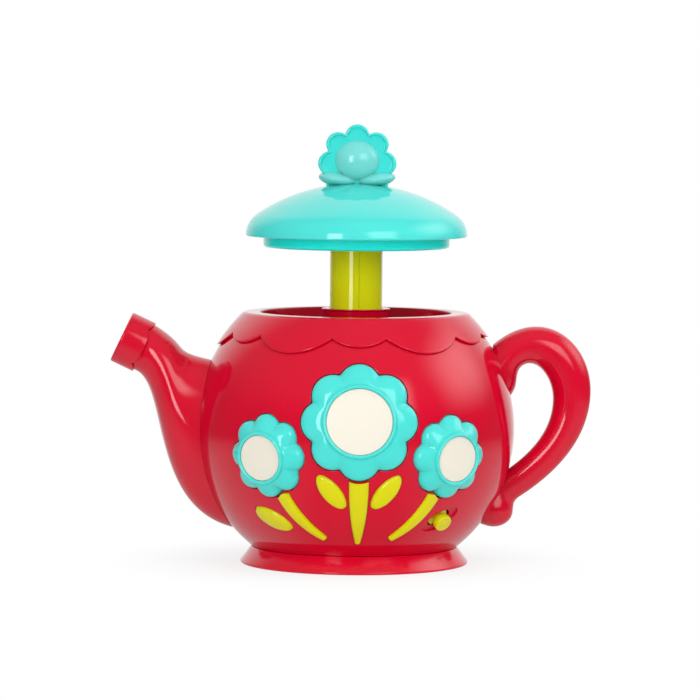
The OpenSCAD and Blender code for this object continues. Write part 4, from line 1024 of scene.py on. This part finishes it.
def makeSpout():
    mouth, tilt = Vector(spout["mouth"]), radians(spout["tilt"])
    along, across = Vector((-cos(tilt), sin(tilt))), Vector((sin(tilt), cos(tilt)))
    neckEnd = mouth - along * spout["tipLength"]
    curves = []
    for root, bends, end in ((spout["lowerRoot"], spout["lowerBend"], neckEnd - across * spout["neck"]),
                             (spout["upperRoot"], spout["upperBend"], neckEnd + across * spout["neck"])):
        start = Vector((root[0] * pot["radius"], pot["middle"] + root[1] * pot["radius"]))
        way = end - start
        between = [Vector((start.x + way.x * x, start.y + way.y * z)) for x, z in bends]
        curves.append([start] + between + [end])

    def skin(t, a):
        half = spout["neck"] + (spout["half"] - spout["neck"]) * (1 - t) ** spout["swell"]
        return ellipsePoint(bezier(curves[0], t), bezier(curves[1], t), half, a)
    turns = circleTurns(spout["sides"])
    starts = [leavesPot(lambda t: skin(t, a), 0, 1, spout["seam"]) for a in turns]
    rings = []
    for k in range(spout["rings"] + 1):
        share = k / spout["rings"]
        rings.append([skin(first + (1 - first) * share, a) for first, a in zip(starts, turns)])
    # the neck goes on into the tip
    rings.append([p + Vector((along.x, 0, along.y)) * spout["overlap"] for p in rings[-1]])
    addHalves("spout", skinned(rings))
    # the tip is a separate collar pushed onto the neck, with four scallops round its hem
    low, r, fit, bore = -spout["tipLength"], spout["tip"], spout["neck"] + spout["fit"], spout["bore"]
    deep, cap = -spout["boreDeep"], -spout["boreDeep"] - spout["boreCap"]
    section = [(fit, low + 0.3)] + arc((r - 0.4, low + 0.4), 0.4, -100, 0, 5) + [(r, low + 3), (r, low + 6)]
    section += arc((r - 1.0, -1.0), 1.0, 0, 90, 7) + arc((bore + 0.8, -0.8), 0.8, 90, 180, 6)
    section += arc((bore - 0.8, deep + 0.8), 0.8, 0, -90, 4)
    section += [(0, deep), (0, cap), (fit, cap), (fit, low + 6), (fit, low + 3)]
    bm = spun(section, 144)
    for vert in bm.verts:
        off = (degrees(atan2(vert.co.y, vert.co.x)) + 45) % 90 / 45 - 1
        rise = spout["hem"] * (1 - sqrt(1 - 0.96 * off * off)) / 0.8
        vert.co.z += rise * min(max(low + 6 - vert.co.z, 0) / spout["hemFade"], 1)
    place = Matrix.Translation((mouth.x, 0, mouth.y)) @ Matrix.Rotation(tilt - pi / 2, 4, "Y")
    addPiece(moved(bm, place), "pot", "spout_tip")


makeSpout()
print("spout modelled")


# handle
handle = dict(out=36.8, inner=18.6, top=49.7, depth=0.92, rings=60, sides=72, seam=-0.05, blend=5, tail=2.3,
              lobes=(((67, 0, 25.3), (9.4, 8.4, 7.8)), ((72.4, 0, 88), (4.9, 7.4, 6.8))),
              outerX=((-0.515, 0.234, 1, 1), (1, 1, 0.518, -0.237)),
              outerZ=((0.645, 1.334, 0.895, 0.379), (0.379, -0.102, -0.498, -0.789)),
              innerX=((-0.169, 0.017, 1, 1), (1, 1, 0.412, -0.819)),
              innerZ=((0.262, 0.891, 0.619, 0.297), (0.297, -0.016, -0.289, -0.543)))


def makeHandle():
    def edgeCurves(xs, zs, out):
        return [[Vector((pot["radius"] + x * out, pot["middle"] + z * handle["top"])) for x, z in zip(*run)]
                for run in zip(xs, zs)]
    outer = edgeCurves(handle["outerX"], handle["outerZ"], handle["out"])
    inner = edgeCurves(handle["innerX"], handle["innerZ"], handle["inner"])

    def skin(t, a):
        # the first run goes over the top, the second back down to the belly
        run = 0 if t < 1 else 1
        far, near = bezier(outer[run], t - run), bezier(inner[run], t - run)
        p = ellipsePoint(far, near, handle["depth"] * (far - near).length / 2, a)
        way = (p - Vector(((far.x + near.x) / 2, 0, (far.y + near.y) / 2))).normalized()
        # it swells softly over the lobe at each root
        for middle, size in handle["lobes"]:
            grown = 0
            for k in range(16):
                reach = Vector([c / s for c, s in zip(p + way * grown - Vector(middle), size)])
                slope = Vector([c / s for c, s in zip(reach, size)]).length
                gap = reach.length * (reach.length - 1) / max(slope, 0.001)
                if gap > handle["blend"]:
                    break
                grown += softMax(-grown, -gap, handle["blend"])
            p = p + way * grown
        return p
    turns = circleTurns(handle["sides"])
    starts = [leavesPot(lambda t: skin(t, a), 0, 1, handle["seam"]) for a in turns]
    ends = [leavesPot(lambda t: skin(t, a), handle["tail"], 1, handle["seam"]) for a in turns]
    rings = []
    for k in range(2 * handle["rings"] + 1):
        share = k / handle["rings"]
        rings.append([skin(first + (1 - first) * share if share < 1 else 1 + (last - 1) * (share - 1), a)
                      for first, last, a in zip(starts, ends, turns)])
    addHalves("handle", skinned(rings))


makeHandle()
print("handle modelled")


# lid, knob and post
lid = dict(base=156.927, radius=53.2, high=25.3, shoulder=13, wall=2.3, edge=0.7, hole=5.15, screwHole=1.7,
           plug=44.7, plugHigh=5.4, brim=50.55, plate=2, hubIn=17.15, hubHigh=2.7, hubThick=2.6)
lid["crown"] = (lid["radius"] ** 2 + lid["high"] ** 2 - 2 * lid["radius"] * lid["shoulder"]) / (
    2 * lid["high"] - 2 * lid["shoulder"])


def lidArc(inset, hole):
    # crown and shoulder arcs from a hole round the axis out to the brim
    mid = lid["base"] + lid["high"] - lid["crown"]
    meet = degrees(atan2(lid["crown"] - lid["high"], lid["radius"] - lid["shoulder"]))
    crown = lid["crown"] - inset
    return (arc((0, mid), crown, degrees(acos(hole / crown)), meet, 40)
            + arc((lid["radius"] - lid["shoulder"], lid["base"]), lid["shoulder"] - inset, meet, 0, 24)[1:])


def makeLid():
    base, edge, r = lid["base"], lid["edge"], lid["radius"]
    outer = [p for p in lidArc(0, lid["hole"]) if p[1] > base + edge]
    inner = lidArc(lid["wall"], lid["hole"])
    section = outer + arc((r - edge, base + edge), edge, -4, -90, 6)
    section += [(inner[-1][0], base)] + inner[:-1][::-1]
    addPiece(spun(section, 192), "lid", "lid_dome")
    plug, low, plate, hole = lid["plug"], base - lid["plugHigh"], lid["plate"], lid["screwHole"]
    brim = lid["brim"]
    hub, hubLow = lid["hubIn"], base + lid["hubHigh"]
    hubTop, hubOut, plugIn = hubLow + lid["hubThick"], hub + plate, plug - plate
    section = [(hole, hubLow), (hub, hubLow), (hub, low + 0.5)]
    section += arc((hub + 0.5, low + 0.5), 0.5, 180, 270, 4)
    section += arc((plug - 1.6, low + 1.6), 1.6, -90, 0, 8) + arc((plug + 0.5, base - 0.5), 0.5, 180, 90, 4)
    section += [(brim, base), (brim, base + plate), (plugIn, base + plate), (plugIn, low + plate),
                (hubOut, low + plate), (hubOut, hubTop), (hole, hubTop)]
    # the lid underside takes the brighter copy with painted light
    addPiece(spun(section, 192), "lid", "lid_plate", finish=plastics["deepTurquoiseAbs"])


knob = dict(high=191.827, size=18.7, lobe=5.8, thick=9, notch=0.8, steps=208,
            ball=11.4, ballOut=8.9, ballHigh=10.3, ballUp=1.4, neck=3.2, neckMiddle=173.4, neckLong=22,
            leafLong=18.4, leafWide=19, leafThick=6.6, leafOut=9.3, leafDown=7.6, leafTilt=8,
            leafSlim=0.1, sunk=0.6)


def knobPlate():
    half, turns = knob["thick"] / 2, circleTurns(knob["steps"])
    # inset from the outline and height over the plate's middle: panel, raised rim, edge
    front = [(inset, half - deep) for inset, deep in (
        (2.6, 1.2), (2.1, 1.15), (1.75, 0.9), (1.6, 0.45), (1.4, 0.14), (1.05, 0),
        (0.7, 0.06), (0.35, 0.28), (0.1, 0.65), (0, 1.1))]
    rings = []
    for inset, y in [(i, -h) for i, h in front] + front[::-1]:
        reach = [flowerEdge(a, knob["size"], knob["lobe"], 0, knob["notch"] + inset) - inset for a in turns]
        rings.append([Vector((r * cos(a), y, r * sin(a))) for r, a in zip(reach, turns)])
    return skinned(rings)


def makeKnob():
    ball = bmesh.new()
    flat = Matrix.Diagonal((1, knob["ballOut"] / knob["ball"], knob["ballHigh"] / knob["ball"], 1))
    bmesh.ops.create_uvsphere(ball, u_segments=96, v_segments=64, radius=knob["ball"],
                              matrix=Matrix.Translation((0, 0, knob["ballUp"])) @ flat)
    parts = [ball]
    hang = (Matrix.Translation((knob["leafOut"], 0, -knob["leafDown"]))
            @ Matrix.Rotation(radians(-knob["leafTilt"]), 4, "Y"))
    for side in (-1, 1):
        leaf = bmesh.new()
        bmesh.ops.create_uvsphere(leaf, u_segments=64, v_segments=40, radius=1,
                                  matrix=Matrix.Rotation(pi / 2, 4, "Y"))
        for vert in leaf.verts:
            x, y, z = vert.co
            slim = 1 + knob["leafSlim"] * x
            vert.co = (x * knob["leafLong"] / 2, y * slim * knob["leafWide"] / 2,
                       z * slim * knob["leafThick"] / 2)
        parts.append(moved(leaf, Matrix.Diagonal((side, 1, 1, 1)) @ hang))
    for part in parts:  # ball and leaves take the paler copy, a painted sheen
        for face in part.faces:
            face.material_index = 1
    bm = moved(joined([knobPlate()] + parts), Matrix.Translation((0, 0, knob["high"])))
    # what would reach through the dome rests on it
    crownMid = lid["base"] + lid["high"] - lid["crown"]
    for vert in bm.verts:
        floor = crownMid + sqrt((lid["crown"] - knob["sunk"]) ** 2 - vert.co.x ** 2 - vert.co.y ** 2)
        vert.co.z = max(vert.co.z, floor)
    bmesh.ops.create_cone(bm, cap_ends=True, segments=48, radius1=knob["neck"], radius2=knob["neck"],
                          depth=knob["neckLong"], matrix=Matrix.Translation((0, 0, knob["neckMiddle"])))
    piece = addPiece(bm, "lid", "lid_knob", sharp=36, finish=plastics["satinTurquoiseAbs"])
    # its second material, the paler copy with the painted sheen
    piece.data.materials.append(plastics["paleTurquoiseAbs"])


post = dict(radius=12.6, low=83.13, high=159.47, bore=10, hold=16, screwBore=5, screwHole=1.7, top=3,
            ringLow=1.85, ringHigh=4.35, ringDeep=1, groove=0.45, turn=5, steps=288)


def makePost():
    low, high, r = post["low"], post["high"], post["radius"]
    bore, screwBore, hole = post["bore"], post["screwBore"], post["screwHole"]
    hold, under = low + post["hold"], high - post["top"]
    ringLow, ringHigh, ringIn = low + post["ringLow"], low + post["ringHigh"], r - post["ringDeep"]
    section = [(r, low + 5), (r, high), (hole, high), (hole, under), (screwBore, under), (screwBore, hold),
               (bore, hold), (bore, low), (r, low), (r, ringLow), (ringIn, ringLow), (ringIn, ringHigh),
               (r, ringHigh)]
    bm = spun(section, post["steps"])
    # the mould's parting line, a fine groove down the front and the back
    for vert in bm.verts:
        if abs(vert.co.x) < 0.01 and hypot(vert.co.x, vert.co.y) > r - 0.01:
            vert.co.y -= copysign(post["groove"], vert.co.y)
    bm = moved(bm, Matrix.Rotation(radians(post["turn"]), 4, "Z"))
    # the post takes the brighter lime with painted light
    addPiece(bm, "lid", "lid_post", sharp=22, finish=plastics["freshLimeAbs"])


makeLid()
makeKnob()
makePost()
print("lid, knob and post modelled")


# spring, rubber pads and screws
spring = dict(low=22.7, high=99.13, radius=8.4, wire=0.8, turns=8, perTurn=28, keep=0.527)


def makeSpring():
    bm = bmesh.new()
    # it stands 0.15 clear at both ends
    lowest = spring["low"] + spring["wire"] + 0.15
    start = Matrix.Translation((spring["radius"], 0, lowest)) @ Matrix.Rotation(pi / 2, 4, "X")
    bmesh.ops.create_circle(bm, cap_ends=False, segments=12, radius=spring["wire"], matrix=start)
    steps = spring["turns"] * spring["perTurn"]
    rise = (spring["high"] - spring["low"] - 2 * spring["wire"] - 0.3) / steps
    bmesh.ops.spin(bm, geom=bm.verts[:] + bm.edges[:], cent=(0, 0, 0), axis=(0, 0, 1), dvec=(0, 0, rise),
                   angle=2 * pi * spring["turns"], steps=steps)
    closed(bm)
    piece = addPiece(bm, "pot", "lid_spring", sharp=60)
    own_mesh(piece)


pad = dict(deep=17.4, high=3.2, wide=5, flange=0.8, top=3, keep=0.31)


def makePads():
    base, high = -pad["deep"], pad["high"] - pad["deep"]
    wide, top, brim = pad["wide"], pad["top"], pad["wide"] + pad["flange"]
    section = [(0, base), (brim, base), (brim, base + 0.6), (brim - 0.2, base + 0.8),
               (wide - 0.3, base + 0.9), (top + 0.3, high - 0.3), (top, high), (0, high)]
    for name in flowers:
        place = flowerPlace(name)
        piece = addPiece(moved(spun(section, 56), place), "pot", name + "_pad")
        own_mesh(piece)


screw = dict(head=3, headHigh=2.2, shank=1.5, long=16, cross=3.2, slot=0.75, deep=1.2)


def screwForm(places):
    # the head is at the low end and faces -Z
    head, shank = screw["head"], screw["shank"]
    section = [(0, 0), (head - 0.9, 0), (head - 0.25, 0.35), (head, 0.9), (head, screw["headHigh"]),
               (shank, screw["headHigh"]), (shank, screw["long"] - 1), (0, screw["long"])]
    wide, thin = screw["cross"] / 2, screw["slot"] / 2
    cross = [(wide, -thin), (wide, thin), (thin, thin), (thin, wide), (-thin, wide), (-thin, thin),
             (-wide, thin), (-wide, -thin), (-thin, -thin), (-thin, -wide), (thin, -wide), (thin, -thin)]
    driver = skinned([[Vector((*corner, z)) for corner in cross] for z in (-1, screw["deep"])])
    one = combined(spun(section, 40), [driver])
    return joined([moved(one.copy(), place) for place in places])


def makeScrews():
    deep, turned = shell["screwDeep"] + screw["headHigh"], Matrix.Rotation(pi / 2, 4, "X")
    back = [Matrix.Translation((x, deep, pot["middle"] + up)) @ turned for x, up in screwSpots]
    addPiece(screwForm(back), "pot", "case_screws")
    under = [baseScrew(k, foot["floor"]) for k in range(4)]
    addPiece(screwForm(under), "pot", "base_screws")


makeSpring()
makePads()
makeScrews()
print("spring, pads and screws modelled")
